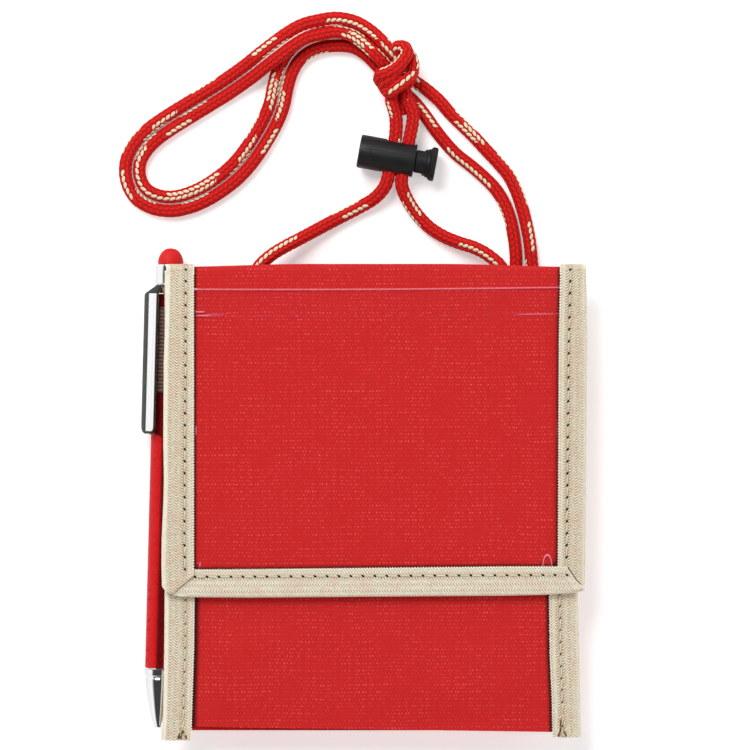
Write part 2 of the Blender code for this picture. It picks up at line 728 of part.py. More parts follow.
def make_lock(frame, plunger_frame):
    """Barrel, plunger and spring. The strands lie against the end of both slots at rest."""
    half_slot = (strand_pitch + CORD_DIAMETER) / 2 + LOCK_SLOT_CLEARANCE
    slot_low = LOCK_SLOT_CENTRE - half_slot
    slot_high = LOCK_SLOT_CENTRE + half_slot
    bore = LOCK_RADIUS - LOCK_WALL
    barrel = add_turned("lock_barrel", [
        (0, LOCK_FLOOR), (bore, LOCK_FLOOR), (bore, LOCK_LENGTH),
        (LOCK_RADIUS - LOCK_ROUND, LOCK_LENGTH), (LOCK_RADIUS, LOCK_LENGTH - LOCK_ROUND),
        (LOCK_RADIUS, LOCK_ROUND), (LOCK_RADIUS - LOCK_ROUND, 0), (0, 0),
    ], black_plastic, frame, False)
    add_boolean(barrel, slot_cutter("barrel_slot", slot_low, slot_high, frame), "DIFFERENCE")

    shaft = bore - PLUNGER_CLEARANCE
    inner_end = slot_low - PLUNGER_WEB
    neck_end = LOCK_LENGTH + PLUNGER_NECK
    head_end = neck_end + PLUNGER_HEAD
    plunger = add_turned("lock_plunger", [
        (0, head_end), (PLUNGER_HEAD_RADIUS - LOCK_ROUND, head_end),
        (PLUNGER_HEAD_RADIUS, head_end - LOCK_ROUND), (PLUNGER_HEAD_RADIUS, neck_end),
        (shaft, neck_end), (shaft, inner_end), (0, inner_end),
    ], black_plastic, plunger_frame, False)
    plunger_slot = slot_cutter("plunger_slot", slot_low, slot_high + PLUNGER_TRAVEL, plunger_frame)
    add_boolean(plunger, plunger_slot, "DIFFERENCE")

    start = LOCK_FLOOR + GAP + SPRING_WIRE / 2
    finish = inner_end - GAP - SPRING_WIRE / 2
    count = SPRING_CURLS * SPRING_CURL_POINTS
    points = []
    for step in range(count + 1):
        angle = math.tau * step / SPRING_CURL_POINTS
        rise = mix(start, finish, 0, count, step)
        points.append((SPRING_RADIUS * math.cos(angle), SPRING_RADIUS * math.sin(angle), rise))
    add_tube("lock_spring", points, SPRING_WIRE, 1, steel, frame)


# Pen, up its own Z from the point of the nose cone

def make_pen_lower(frame):
    nose = [(SPIGOT_RADIUS, NOSE_LENGTH + NOSE_SPIGOT), (SPIGOT_RADIUS, NOSE_LENGTH)]
    groove_top = NOSE_GROOVE_RISE + NOSE_GROOVE
    nose += [(PEN_RADIUS, NOSE_LENGTH), (PEN_RADIUS, groove_top)]
    nose += [(PEN_RADIUS - NOSE_GROOVE, groove_top), (PEN_RADIUS - NOSE_GROOVE, NOSE_GROOVE_RISE)]
    for rise_share, radius_share in NOSE_SHARES:
        radius = mix(NOSE_TIP_RADIUS, PEN_RADIUS, 0, 1, radius_share)
        nose.append((radius, NOSE_GROOVE_RISE * rise_share))
    nose += [(NOSE_HOLE, 0), (NOSE_HOLE, NOSE_LIP), (NOSE_BORE, NOSE_LIP)]
    nose.append((NOSE_BORE, NOSE_LENGTH + NOSE_SPIGOT))
    add_turned("pen_nose_cone", nose, chrome, frame, True)
    add_turned("pen_barrel", [
        (PEN_RADIUS, collar_rise - GAP), (PEN_RADIUS, NOSE_LENGTH + GAP),
        (PEN_BORE, NOSE_LENGTH + GAP), (PEN_BORE, collar_rise - GAP),
    ], red_plastic, frame, True)


def make_pen_refill(frame):
    point_top = POINT_RISE + POINT_LENGTH
    add_turned("pen_point", [
        (0, point_top), (POINT_RADIUS, point_top), (POINT_RADIUS, POINT_RISE + POINT_RADIUS),
        (0, POINT_RISE),
    ], brass, frame, False)
    add_turned("pen_refill", [
        (0, refill_top), (REFILL_RADIUS, refill_top), (REFILL_RADIUS, point_top + GAP),
        (0, point_top + GAP),
    ], ink_tube, frame, False)


def make_pen_upper(frame):
    ring_top = collar_rise + COLLAR_RING
    add_turned("pen_collar", [
        (0, collar_top), (COLLAR_RADIUS, collar_top), (COLLAR_RADIUS, ring_top),
        (PEN_RADIUS, ring_top), (PEN_RADIUS, collar_rise), (SPIGOT_RADIUS, collar_rise),
        (SPIGOT_RADIUS, collar_rise - COLLAR_SPIGOT), (0, collar_rise - COLLAR_SPIGOT),
    ], chrome, frame, False)
    foot = collar_top + GAP
    height = PEN_LENGTH - foot
    dome = []
    for step in range(DOME_STEPS + 1):
        angle = math.radians(90 * step / DOME_STEPS)
        dome.append((DOME_RADIUS * math.sin(angle), foot + height * math.cos(angle)))
    dome.append((0, foot))
    add_turned("stylus_dome", dome, rubber, frame, False)


def make_pen_clip(frame):
    """The clip stands off the barrel, slopes in to the collar and has a pip at its free end."""
    turn = math.radians(CLIP_TURN)
    outward = Vector((-math.sin(turn), -math.cos(turn), 0))
    upward = Vector((0, 0, 1))
    across = outward.cross(upward)
    seat = PEN_RADIUS + GAP
    outer = CLIP_INNER + CLIP_THICKNESS
    pip_middle = clip_end + CLIP_PIP / 2 + CLIP_THICKNESS
    profile = [
        (seat, clip_top), (outer, clip_top - CLIP_SLOPE), (outer, clip_end),
        (CLIP_INNER, clip_end), (CLIP_INNER, pip_middle - CLIP_PIP / 2), (seat, pip_middle),
        (CLIP_INNER, pip_middle + CLIP_PIP / 2), (CLIP_INNER, clip_top - CLIP_FOOT),
        (seat, clip_top - CLIP_FOOT),
    ]
    side = Matrix((outward, upward, across)).transposed().to_4x4()
    mesh = outline_mesh("pen_clip", [profile], CLIP_WIDTH, side)
    clip = add_object("pen_clip", mesh, chrome, frame)
    half = CLIP_WIDTH / 2
    plan = [(half, clip_top + CUT_OVERRUN), (-half, clip_top + CUT_OVERRUN)]
    for step in range(CLIP_END_STEPS + 1):
        angle = math.radians(180 + 180 * step / CLIP_END_STEPS)
        plan.append((half * math.cos(angle), clip_end + half + half * math.sin(angle)))
    front = Matrix((across, upward, outward)).transposed().to_4x4()
    reach = outer + CUT_OVERRUN
    plan_mesh = outline_mesh("clip_plan", [plan], reach + reach, front)
    add_boolean(clip, add_cutter("clip_plan", plan_mesh, frame), "INTERSECT")


# Assembly

def make_wallet():
    make_back_panel()
    make_front_panel()
    make_pouch_tapes()
    make_fastener_strip("loop_strip", front_tape_z, None, Vector((0, 0, 0)))
    make_cord_tab("cord_tab_left", LEFT_TAB_X)
    make_cord_tab("cord_tab_right", RIGHT_TAB_X)
    make_flap_fold()

    hinge = Vector((0, hinge_y, hinge_z))
    flap = add_empty("flap_hinge", Matrix.Translation(hinge))
    make_flap_panel(flap, hinge)
    make_clear_window(flap, hinge)
    make_flap_tapes(flap, hinge)
    make_fastener_strip("hook_strip", flap_rear_tape_z, flap, hinge)


def make_cord_and_lock():
    tilt = math.radians(LOCK_TILT)
    along = Vector((math.cos(tilt), -math.sin(tilt), 0))
    across = Vector((math.sin(tilt), math.cos(tilt), 0))
    axes = Matrix((across.cross(along), across, along)).transposed().to_4x4()
    matrix = Matrix.Translation(at_pixel(LOCK_END_PIXEL, lock_axis_z)) @ axes
    make_lock(add_empty("lock_axis", matrix), add_empty("plunger_axis", matrix))
    make_cord_end("cord_left_end", LEFT_TAB_X, LEFT_END_ROUTE, LEFT_NECK_ROUTE, -1, matrix)
    make_cord_end("cord_right_end", RIGHT_TAB_X, RIGHT_END_ROUTE, RIGHT_NECK_ROUTE, 1, matrix)
    make_neck_loop()
    make_knot()


def make_pen():
    lean = Matrix.Rotation(-math.radians(PEN_LEAN), 4, "Z") @ Matrix.Rotation(-math.pi / 2, 4, "X")
    point = lean @ Matrix.Translation((0, 0, -PEN_LENGTH / 2))
    middle = Vector((pouch_left + PEN_INSET, fold_top - PEN_DROP, pen_axis_z))
    matrix = Matrix.Translation(middle) @ point
    make_pen_loop(matrix)
    upper = add_empty("pen_upper_axis", matrix)
    make_pen_upper(upper)
    make_pen_clip(upper)
    make_pen_lower(add_empty("pen_lower_axis", matrix))
    make_pen_refill(add_empty("refill_axis", matrix))


make_wallet()
make_cord_and_lock()
make_pen()
bpy.context.view_layer.update()
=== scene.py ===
"""Looks of the neck wallet, laid out as an add-on and run as a script.

The wallet lies on its back: +X to the right, +Y up towards the cord, +Z out of the
front. Sizes are in metres. Cloth and cord carry their own UV maps, in metres or in
stitches of the plait, so that their weave follows the surface.
"""

import math

import bmesh
import bpy
import numpy as np
from bpy.props import FloatProperty, FloatVectorProperty, IntProperty, PointerProperty
from mathutils import Matrix, Vector


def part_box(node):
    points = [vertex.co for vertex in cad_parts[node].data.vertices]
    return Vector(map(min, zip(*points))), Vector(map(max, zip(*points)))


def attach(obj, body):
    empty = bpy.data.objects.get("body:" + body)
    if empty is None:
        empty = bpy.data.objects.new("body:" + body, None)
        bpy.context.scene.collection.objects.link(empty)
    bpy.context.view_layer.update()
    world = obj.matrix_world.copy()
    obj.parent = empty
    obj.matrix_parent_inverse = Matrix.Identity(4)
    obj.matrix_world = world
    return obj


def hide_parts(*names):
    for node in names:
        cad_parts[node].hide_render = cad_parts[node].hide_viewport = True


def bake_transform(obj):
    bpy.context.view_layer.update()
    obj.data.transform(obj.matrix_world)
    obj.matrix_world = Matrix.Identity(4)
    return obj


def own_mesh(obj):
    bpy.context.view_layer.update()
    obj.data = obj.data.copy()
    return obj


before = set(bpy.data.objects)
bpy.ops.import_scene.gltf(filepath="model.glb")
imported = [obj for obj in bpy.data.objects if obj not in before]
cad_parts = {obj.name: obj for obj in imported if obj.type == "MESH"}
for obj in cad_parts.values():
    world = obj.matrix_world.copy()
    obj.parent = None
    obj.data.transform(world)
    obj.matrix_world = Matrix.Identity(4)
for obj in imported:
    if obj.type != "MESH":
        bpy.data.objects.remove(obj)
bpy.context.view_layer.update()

bl_info = {
    "name": "Neck wallet",
    "version": (1, 0, 0),
    "blender": (4, 5, 0),
    "location": "View3D > Sidebar > Neck wallet",
    "description": "Dresses the packed neck wallet: cloth, tapes, cord, cord lock and pen",
    "category": "Object",
}


def paint(red, green, blue):
    """A screen colour from 0 to 255, as the linear values that the shaders take."""
    channels = []
    for value in (red, green, blue):
        share = value / 255
        channels.append(share / 12.92 if share <= 0.04045 else ((share + 0.055) / 1.055) ** 2.4)
    return tuple(channels)


def length_setting(name, text, default):
    return FloatProperty(
        name=name, description=text, default=default, min=0, precision=5, unit="LENGTH", subtype="DISTANCE")


def colour_setting(name, text, default):
    return FloatVectorProperty(
        name=name, description=text, default=default, size=3, min=0, max=1, subtype="COLOR")


class ClothSettings(bpy.types.PropertyGroup):
    weave: length_setting("Weave", "Distance between two rows of the nylon's raised threads", 0.00209)
    ripple: length_setting("Ripple", "How far the panels stray from flat", 0.00022)
    stitch: length_setting("Stitch", "Distance between two needle holes", 0.0035)
    thread: length_setting("Thread", "Thickness of the sewing thread", 0.00042)
    nylon: colour_setting("Nylon", "Colour of the nylon", paint(206, 34, 34))
    # the colour of the painted highlight on the nylon's raised threads
    nylon_highlight: colour_setting("Nylon light", "Colour of the raised threads", paint(246, 96, 92))
    tape: colour_setting("Tape", "Colour of the binding tape", paint(220, 206, 178))
    tape_light: colour_setting("Tape edge", "Colour of the tape's woven edges", paint(250, 244, 222))
    thread_colour: colour_setting("Thread colour", "Colour of the sewing thread", paint(246, 228, 196))
    # the colour of the painted shadow between the tacks' strands, drawn as dark thread
    tack_shadow_colour: colour_setting("Tack shadow", "Colour of the dark strands in the tacks", paint(112, 74, 34))
    elastic: colour_setting("Elastic", "Colour of the pen loop", paint(82, 54, 49))
    fastener: colour_setting("Fastener", "Colour of the hook and loop strips", paint(178, 24, 32))


class CordSettings(bpy.types.PropertyGroup):
    bead: length_setting("Bead", "Length of one bead of the plait", 0.00175)
    relief: length_setting("Relief", "Height of the plait's beads", 0.00022)
    sides: IntProperty(name="Sides", description="Corners of the cord's section", default=32, min=8, max=64)
    red: colour_setting("Cord red", "Colour of the cord", paint(218, 28, 24))
    tracer: colour_setting("Tracer", "Colour of the cord's light yarn", paint(252, 234, 200))


class HardwareSettings(bpy.types.PropertyGroup):
    mould: length_setting("Mould line", "Width of the mould lines on the cord lock", 0.00016)
    lock: colour_setting("Cord lock", "Colour of the cord lock", paint(22, 23, 24))
    barrel: colour_setting("Pen barrel", "Colour of the pen's barrel", paint(205, 22, 26))
    dome: colour_setting("Stylus dome", "Colour of the stylus dome", paint(208, 28, 26))
    chrome: colour_setting("Chrome", "Colour of the pen's bright metal", (0.93, 0.93, 0.93))


class StageSettings(bpy.types.PropertyGroup):
    distance: length_setting("Camera height", "Height of the camera above the floor", 2.2)
    key: FloatProperty(name="Key", description="Power of the large lamp", default=15.5, unit="POWER")
    fill: FloatProperty(name="Fill", description="Power of the small lamp", default=6.5, unit="POWER")
    sky: FloatProperty(name="Sky", description="Strength of the light from all around", default=1.0)


SETTINGS = (
    ("wallet_cloth", ClothSettings), ("wallet_cord", CordSettings),
    ("wallet_hardware", HardwareSettings), ("wallet_stage", StageSettings),
)


def settings(name):
    return getattr(bpy.context.scene, name)


# The photograph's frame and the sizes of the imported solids
PHOTO_SIDE = 750
PIXEL = 0.0002925
EDGE_PIXEL = (375.0, 264.05)
MIDDLE = PHOTO_SIDE / 2


def corners(*nodes):
    """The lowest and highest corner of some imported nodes."""
    boxes = [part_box(node) for node in nodes]
    low = Vector([min(box[0][axis] for box in boxes) for axis in range(3)])
    high = Vector([max(box[1][axis] for box in boxes) for axis in range(3)])
    return low, high


FLAP_LOW, FLAP_HIGH = corners("flap_tape_left", "flap_tape_right", "flap_tape_bottom")
FOLD_LOW, FOLD_HIGH = corners("flap_fold")
FOLD_TOP = FOLD_HIGH.y


def pixel_across(x):
    return (x - EDGE_PIXEL[0]) * PIXEL


def pixel_along(y):
    return FOLD_TOP + (EDGE_PIXEL[1] - y) * PIXEL


def at_pixel(x, y, z):
    """The place of a pixel of the photograph at height z."""
    return Vector((pixel_across(x), pixel_along(y), z))


# Making meshes

def deselect():
    for piece in bpy.context.selected_objects:
        piece.select_set(False)


def linked(name, data):
    """An object of some data, at the origin of the scene."""
    item = bpy.data.objects.new(name, data)
    bpy.context.scene.collection.objects.link(item)
    return item


def mesh_piece(name, places, faces, maps=None):
    """An object at the origin from places, faces and UV maps that have a place for each vertex."""
    mesh = bpy.data.meshes.new(name)
    mesh.from_pydata(places, [], faces)
    corner = np.empty(len(mesh.loops), dtype=np.int32)
    mesh.loops.foreach_get("vertex_index", corner)
    for key, values in (maps or {}).items():
        layer = mesh.uv_layers.new(name=key)
        layer.data.foreach_set("uv", np.asarray(values, dtype=np.float32)[corner].ravel())
    return linked(name, mesh)


def hold(piece):
    """Make a piece the only one that the next operators act on."""
    deselect()
    piece.select_set(True)
    bpy.context.view_layer.objects.active = piece
    return piece


def join(name, pieces):
    hold(pieces[0])
    for piece in pieces[1:]:
        piece.select_set(True)
    if len(pieces) > 1:
        bpy.ops.object.join()
    joined = bpy.context.view_layer.objects.active
    joined.name = name
    joined.data.name = name
    return joined


def apply_modifiers(piece):
    hold(piece)
    for modifier in list(piece.modifiers):
        bpy.ops.object.modifier_apply(modifier=modifier.name)


def apply_place(piece):
    hold(piece)
    bpy.ops.object.transform_apply(location=True, rotation=True, scale=True)


def edit():
    """Open the active piece in edit mode with all of it selected."""
    bpy.ops.object.mode_set(mode="EDIT")
    bpy.ops.mesh.select_all(action="SELECT")


def leave_edit():
    bpy.ops.object.mode_set(mode="OBJECT")


def close_up():
    """Turn all faces outwards and leave edit mode."""
    bpy.ops.mesh.select_all(action="SELECT")
    bpy.ops.mesh.normals_make_consistent(inside=False)
    leave_edit()


def face_outwards(piece):
    """Turn the faces of a piece made from places outwards."""
    shape = bmesh.new()
    shape.from_mesh(piece.data)
    bmesh.ops.recalc_face_normals(shape, faces=shape.faces)
    shape.to_mesh(piece.data)
    shape.free()


def smooth(piece, angle=40):
    hold(piece)
    bpy.ops.object.shade_smooth_by_angle(angle=math.radians(angle))


def dress(piece, finish, body, replaces=()):
    """Give a finished piece its material, its body and the nodes it stands for."""
    piece.data.materials.clear()
    piece.data.materials.append(finish)
    if body is not None:
        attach(piece, body)
    if replaces:
        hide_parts(*replaces)
    return piece


def refinish(node, finish):
    """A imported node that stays, with its own detailed material."""
    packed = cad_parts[node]
    packed.data.materials.clear()
    packed.data.materials.append(finish)


# Finishes

def scaled(colour, *factors):
    """A colour with its channels multiplied, by one factor or by one each."""
    return tuple(channel * factor for channel, factor in zip(colour, factors * 3))


def raised(colour, factor, more):
    """A lighter colour, with no channel above 1."""
    return tuple(min(1, channel * factor + more) for channel in colour)


class Signal:
    """A value in a finish's node tree. Plain arithmetic on it lays down the math nodes."""

    def __init__(self, finish, socket):
        self.finish = finish
        self.socket = socket

    def step(self, operation, *others):
        return self.finish.node("Math", self, *others, operation=operation)

    def __add__(self, other):
        return self.step("ADD", other)

    def __sub__(self, other):
        return self.step("SUBTRACT", other)

    def __rsub__(self, other):
        return self.finish.node("Math", other, self, operation="SUBTRACT")

    def __mul__(self, other):
        return self.step("MULTIPLY", other)

    def __truediv__(self, other):
        return self.step("DIVIDE", other)

    def __mod__(self, other):
        return self.step("MODULO", other)

    def __lt__(self, other):
        return self.step("LESS_THAN", other)

    def __gt__(self, other):
        return self.step("GREATER_THAN", other)

    def __abs__(self):
        return self.step("ABSOLUTE")

    def squared(self):
        return self * self

    def fraction(self):
        return self.step("FRACT")

    def whole(self):
        return self.step("FLOOR")

    def sine(self):
        return self.step("SINE")

    def or_more(self, other):
        return self.step("MAXIMUM", other)

    def remap(self, low, high, start=0.0, finish=1.0):
        """Map low to high onto start to finish, eased and clamped."""
        return self.finish.node("MapRange", self, low, high, start, finish, interpolation_type="SMOOTHSTEP")


class Finish:
    """The node tree of one finish, laid down step by step."""

    def __init__(self, name, colour, roughness, **sockets):
        self.material = bpy.data.materials.new(name)
        self.material.use_nodes = True
        self.tree = self.material.node_tree
        self.shader = self.tree.nodes["Principled BSDF"]
        self.put("Base Color", colour)
        self.put("Roughness", roughness)
        for socket, value in sockets.items():
            self.put(socket.replace("_", " "), value)

    def give(self, socket, value):
        """Link a signal to a socket, or set the socket to a plain value."""
        if isinstance(value, Signal):
            self.tree.links.new(value.socket, socket)
        elif value is not None:
            socket.default_value = (*value, 1) if socket.type == "RGBA" else value

    def put(self, socket, value):
        self.give(self.shader.inputs[socket], value)

    def node(self, kind, *values, output=0, **options):
        node = self.tree.nodes.new("ShaderNode" + kind)
        for option, value in options.items():
            setattr(node, option, value)
        for socket, value in zip(node.inputs, values):
            self.give(socket, value)
        return Signal(self, node.outputs[output])

    def mix(self, share, one, two):
        """A blend of two colours. A colour mix node keeps them in its sockets 6, 7 and 2."""
        node = self.tree.nodes.new("ShaderNodeMix")
        node.data_type = "RGBA"
        for socket, value in zip((0, 6, 7), (share, one, two)):
            self.give(node.inputs[socket], value)
        return Signal(self, node.outputs[2])

    def noise(self, place, scale, detail=2.0):
        return self.node("TexNoise", place, None, scale, detail)

    def object_place(self):
        return self.node("TexCoord", output=3)

    def map_place(self, name):
        """Across and along on the piece's own map."""
        place = self.node("UVMap", uv_map=name)
        return self.node("SeparateXYZ", place), self.node("SeparateXYZ", place, output=1)

    def join_place(self, across, along):
        return self.node("CombineXYZ", across, along)

    def bump(self, height, distance):
        node = self.tree.nodes.new("ShaderNodeBump")
        self.give(node.inputs["Distance"], distance)
        self.give(node.inputs["Height"], height)
        return Signal(self, node.outputs["Normal"])


def nylon_finish():
    """Nylon woven in small squares: two raised threads to a square, over a fine plain weave. A painted highlight
    lightens the raised threads; painted shade darkens the plain weave's hollows and the cloth beside the binding tapes.
    """
    look = settings("wallet_cloth")
    cloth = Finish("nylon_weave", look.nylon, 0.66, Specular_IOR_Level=0.14)
    across, along = cloth.map_place("cloth")
    place = cloth.join_place(across, along)
    sway = (cloth.noise(place, 40.0) - 0.5) * 0.7
    column = across / look.weave + sway
    row = along / look.weave - sway
    strong = 1.0 - nylon_knot(column, row, 0.0, 0.16)
    weak = 1.0 - nylon_knot(column, row, 0.5, 0.15)
    stray = cloth.noise(place, 700.0)
    patch = cloth.noise(place, 120.0, 3.0)
    share = patch.remap(0.3, 0.68, 0.12, 0.8) * stray.remap(0.36, 0.64, 0.05, 1.0)
    # painted highlight on the raised threads
    raised_highlight = strong.remap(0.0, 0.9) * share + weak.remap(0.0, 0.9, 0.0, 0.60) * share
    fine = (column * (math.tau * 2)).sine() * (row * (math.tau * 2)).sine()
    # painted shade in the plain weave's hollows
    ground = cloth.mix(fine.remap(-0.8, 0.7), scaled(look.nylon, 0.80), look.nylon)
    ground = cloth.mix(raised_highlight, ground, look.nylon_highlight)
    # painted shade beside the binding tapes' inner edges
    bound, bordered = cloth.map_place("bound")
    shade = bordered * bound.remap(-0.0002, 0.0014, 1.0, 0.0)
    cloth.put("Base Color", cloth.mix(shade, ground, scaled(look.nylon, 0.10)))
    cloth.put("Normal", cloth.bump(raised_highlight + fine * 0.25 + stray * 0.3, 0.00008))
    return cloth.material


def nylon_knot(column, row, shift, size):
    """Squared distance, in knot sizes, to the nearer of the two raised threads of a square."""
    side = abs((column + shift * 0.5).fraction() - 0.5) - 0.2
    rise = (row + shift).fraction() - 0.5
    return (side / size).squared() + (rise / size).squared()


def braid_finish():
    """Plaited cord: beads in columns, and a light yarn that shows for five beads at a time. The red is darker between
    the beads, as painted shade.
    """
    look = settings("wallet_cord")
    cord = Finish("plaited_cord", look.red, 0.74, Specular_IOR_Level=0.16)
    column, along = cord.map_place("plait")
    number = column.whole()
    side = column.fraction() - 0.5
    odd = number % 2.0
    bead = along + odd * 0.5 + side * (odd * 1.1 - 0.55)
    rise = bead.fraction() - 0.5
    body = 1.0 - (side.squared() * 4.4 + rise.squared() * 3.6)
    row = (bead / 5.0 + number * 0.38).whole()
    chance = cord.node("TexWhiteNoise", cord.join_place(number, row))
    shown = (chance > 0.83) * body.remap(0.22, 0.40)
    hairs = cord.noise(cord.join_place(column * 6.0, along), 5.0)
    # painted shade between the beads
    red = cord.mix(body.remap(0.0, 0.5, 0.30, 1.0), scaled(look.red, 0.42), look.red)
    red = cord.mix(hairs.remap(0.55, 0.8, 0.0, 0.55), red, raised(look.red, 1.25, 0.03))
    yarn = cord.mix(hairs.remap(0.3, 0.65), scaled(look.tracer, 0.72), look.tracer)
    cord.put("Base Color", cord.mix(shown, red, yarn))
    cord.put("Normal", cord.bump(body + hairs * 0.35, 0.00016))
    return cord.material


def moulded_finish(name, colour, roughness, grain, **sockets):
    """Moulded plastic with a fine grain and a slightly uneven gloss."""
    plastic = Finish(name, colour, roughness, **sockets)
    place = plastic.object_place()
    fine = plastic.noise(place, 4200.0)
    wide = plastic.noise(place, 260.0, 3.0)
    plastic.put("Roughness", wide.remap(0.3, 0.7, roughness * 0.85, roughness * 1.15))
    plastic.put("Base Color", plastic.mix(fine.remap(0.45, 0.8, 0.0, 0.4), colour, raised(colour, 1.5, 0.004)))
    plastic.put("Normal", plastic.bump(fine + wide, grain))
    return plastic.material


def metal_finish(name, colour, roughness, scale):
    """Bright metal with faint hairlines along Y."""
    metal = Finish(name, colour, roughness, Metallic=1.0)
    place = metal.node("Mapping", metal.object_place(), None, None, (scale, scale * 0.04, scale))
    hairs = metal.noise(place, 1.0, 3.0)
    wide = metal.noise(metal.object_place(), 320.0)
    metal.put("Roughness", wide.remap(0.3, 0.75, roughness * 0.7, roughness * 1.5))
    metal.put("Normal", metal.bump(hairs, 0.0000012))
    return metal.material


def tape_finish(name, hole_width, hole_height, hole_shade, bleach):
    """Twill tape: rows of knots between slanting ribs, pale woven edges and needle holes. A painted highlight lightens
    the crests and the fold; painted shade darkens the troughs, the seam's grooves, the needle holes, the rim between
    its beads and the gap at a cut end.
    """
    look = settings("wallet_cloth")
    base = tuple(one + (other - one) * bleach for one, other in zip(look.tape, look.tape_light))
    dark = scaled(base, 0.44, 0.36, 0.29)
    tape = Finish(name, base, 0.82, Specular_IOR_Level=0.15)
    across, along = tape.map_place("cloth")
    share, edge = tape.map_place("edge")
    # folded is the strength of the painted highlight along the fold
    end, folded = tape.map_place("end")
    place = tape.join_place(across, along)
    stray = tape.noise(place, 1300.0)
    patch = tape.noise(place, 170.0, 3.0)

    # The twill, with painted shade in the troughs between its ribs
    column = across / TAPE_COLUMN + 1.02
    side = column.fraction() - 0.5
    rib = along / TAPE_RIB + column.whole() * 0.37 + abs(side + 0.12) * -1.9
    crest = (rib * math.tau).step("COSINE")
    middle = abs(side).remap(0.12, 0.30, 1.0, 0.0)
    power = (middle * 0.55 + 0.45) * stray.remap(0.3, 0.6, 0.5, 1.1)
    weave = crest * power + (stray - 0.5) * 1.6
    ground = tape.mix(patch.remap(0.42, 0.58), base, scaled(base, 1.0, 0.88, 0.86))
    ground = tape.mix(weave.remap(0.1, -1.0, 0.0, 0.95), ground, dark)

    # Its pale woven edges, a painted highlight along the fold, and painted shade between the beads along the rim
    inner = edge.remap(0.0013, 0.0022, 0.34, 0.0)
    lip = edge.remap(0.0002, 0.0006, 1.0, 0.0)
    fold = (1.0 - abs(share - 1.04).remap(0.13, 0.22)) * folded
    ground = tape.mix(inner.or_more(lip).or_more(fold) * 0.9, ground, look.tape_light)
    # painted highlight on the twill's crests
    ground = tape.mix(weave.remap(0.0, 1.1, 0.0, 0.95), ground, (1.0, 0.97, 0.86))
    beads = (along * (math.tau / TAPE_RIB)).sine()
    rim = abs(edge - 0.0006).remap(0.0001, 0.0004, 0.5, 0.0)
    ground = tape.mix(rim * beads.remap(0.0, 0.9), ground, dark)

    # The seam: painted shade in a groove on either side of it and in the needle holes
    sewn_here = end < 1.3
    groove = abs(abs(across) - 0.00036).remap(0.00006, 0.0002, 0.6, 0.0)
    ground = tape.mix(groove * stray.remap(0.3, 0.6, 0.3, 1.0) * sewn_here, ground, dark)
    step = ((along / look.stitch + 0.5).fraction() - 0.5) * look.stitch
    slant = across - step * 0.35
    hole = (slant / hole_width).squared() + (step / hole_height).squared()
    hole = hole.remap(0.55, 1.15, 1.0, 0.0) * sewn_here
    ground = tape.mix(hole, ground, scaled(look.tape, hole_shade))

    # Painted shade in the narrow gap at a tape's cut end
    gap = end.remap(0.00022, 0.00064, 0.95, 0.0)
    tape.put("Base Color", tape.mix(gap, ground, (0.035, 0.018, 0.008)))
    tape.put("Normal", tape.bump(weave + stray * 0.5 - hole * 2.0, 0.00010))
    return tape.material


def mark_reach(across, along, x, drop, half_x, half_drop):
    """Squared distance from the middle of a mark on the window, in half sizes of the mark."""
    return ((across - x) / half_x).squared() + ((along - drop) / half_drop).squared()


def vinyl_finish():
    """Clear sheet: a painted highlight along its top edge and the turned-over edge, with a few streaks, specks and one
    hair.
    """
    vinyl = Finish("clear_sheet", (1.0, 0.40, 0.52), 0.2, Specular_IOR_Level=0.35)
    across, along = vinyl.map_place("cloth")
    place = vinyl.join_place(across, along)
    haze = vinyl.noise(place, 45.0, 3.0)
    fine = vinyl.noise(place, 2300.0)
    broken = vinyl.noise(vinyl.join_place(across, 0.0), 420.0, 3.0)
    # painted highlight along the top edge, stronger near the left end, and along the lower line of the turned-over edge
    end = across.remap(GLASS_LOW.x + 0.0046, GLASS_LOW.x + 0.0066, 1.0, 0.0)
    top = along.remap(0.0002, 0.0006, 1.0, 0.0) * broken.remap(0.3, 0.7, 0.30, 0.46)
    hem = along.remap(0.0, 0.0004) * along.remap(WINDOW_HEM, WINDOW_HEM - 0.0006)
    low = abs(along - (WINDOW_HEM - 0.0002)).remap(0.0, 0.0006, 0.10, 0.0) * broken.remap(0.45, 0.65, 0.05, 1.0)
    marks_and_highlight = (top + end * top).or_more(low)
    for *mark, strength in WINDOW_STREAKS:
        marks_and_highlight = marks_and_highlight.or_more(mark_reach(across, along, *mark).remap(0.2, 1.0, strength, 0.0))
    ring = abs(mark_reach(across, along, *WINDOW_HAIR).step("SQRT") - 1.0)
    marks_and_highlight = marks_and_highlight.or_more(ring.remap(0.04, 0.14, 0.55, 0.0) * (along < WINDOW_HAIR[1]))
    alpha = haze.remap(0.35, 0.7, 0.0, 0.0015) + fine.remap(0.70, 0.78, 0.0, 0.16)
    vinyl.put("Alpha", alpha + hem * 0.002 + marks_and_highlight)
    bright = vinyl.mix(marks_and_highlight.remap(0.45, 0.8), (1.0, 0.27, 0.34), (1.0, 0.80, 0.86))
    vinyl.put("Base Color", vinyl.mix(marks_and_highlight.remap(0.02, 0.2), (0.75, 0.08, 0.20), bright))
    vinyl.put("Roughness", haze.remap(0.3, 0.7, 0.12, 0.28))
    vinyl.put("Normal", vinyl.bump(haze, 0.0002))
    return vinyl.material


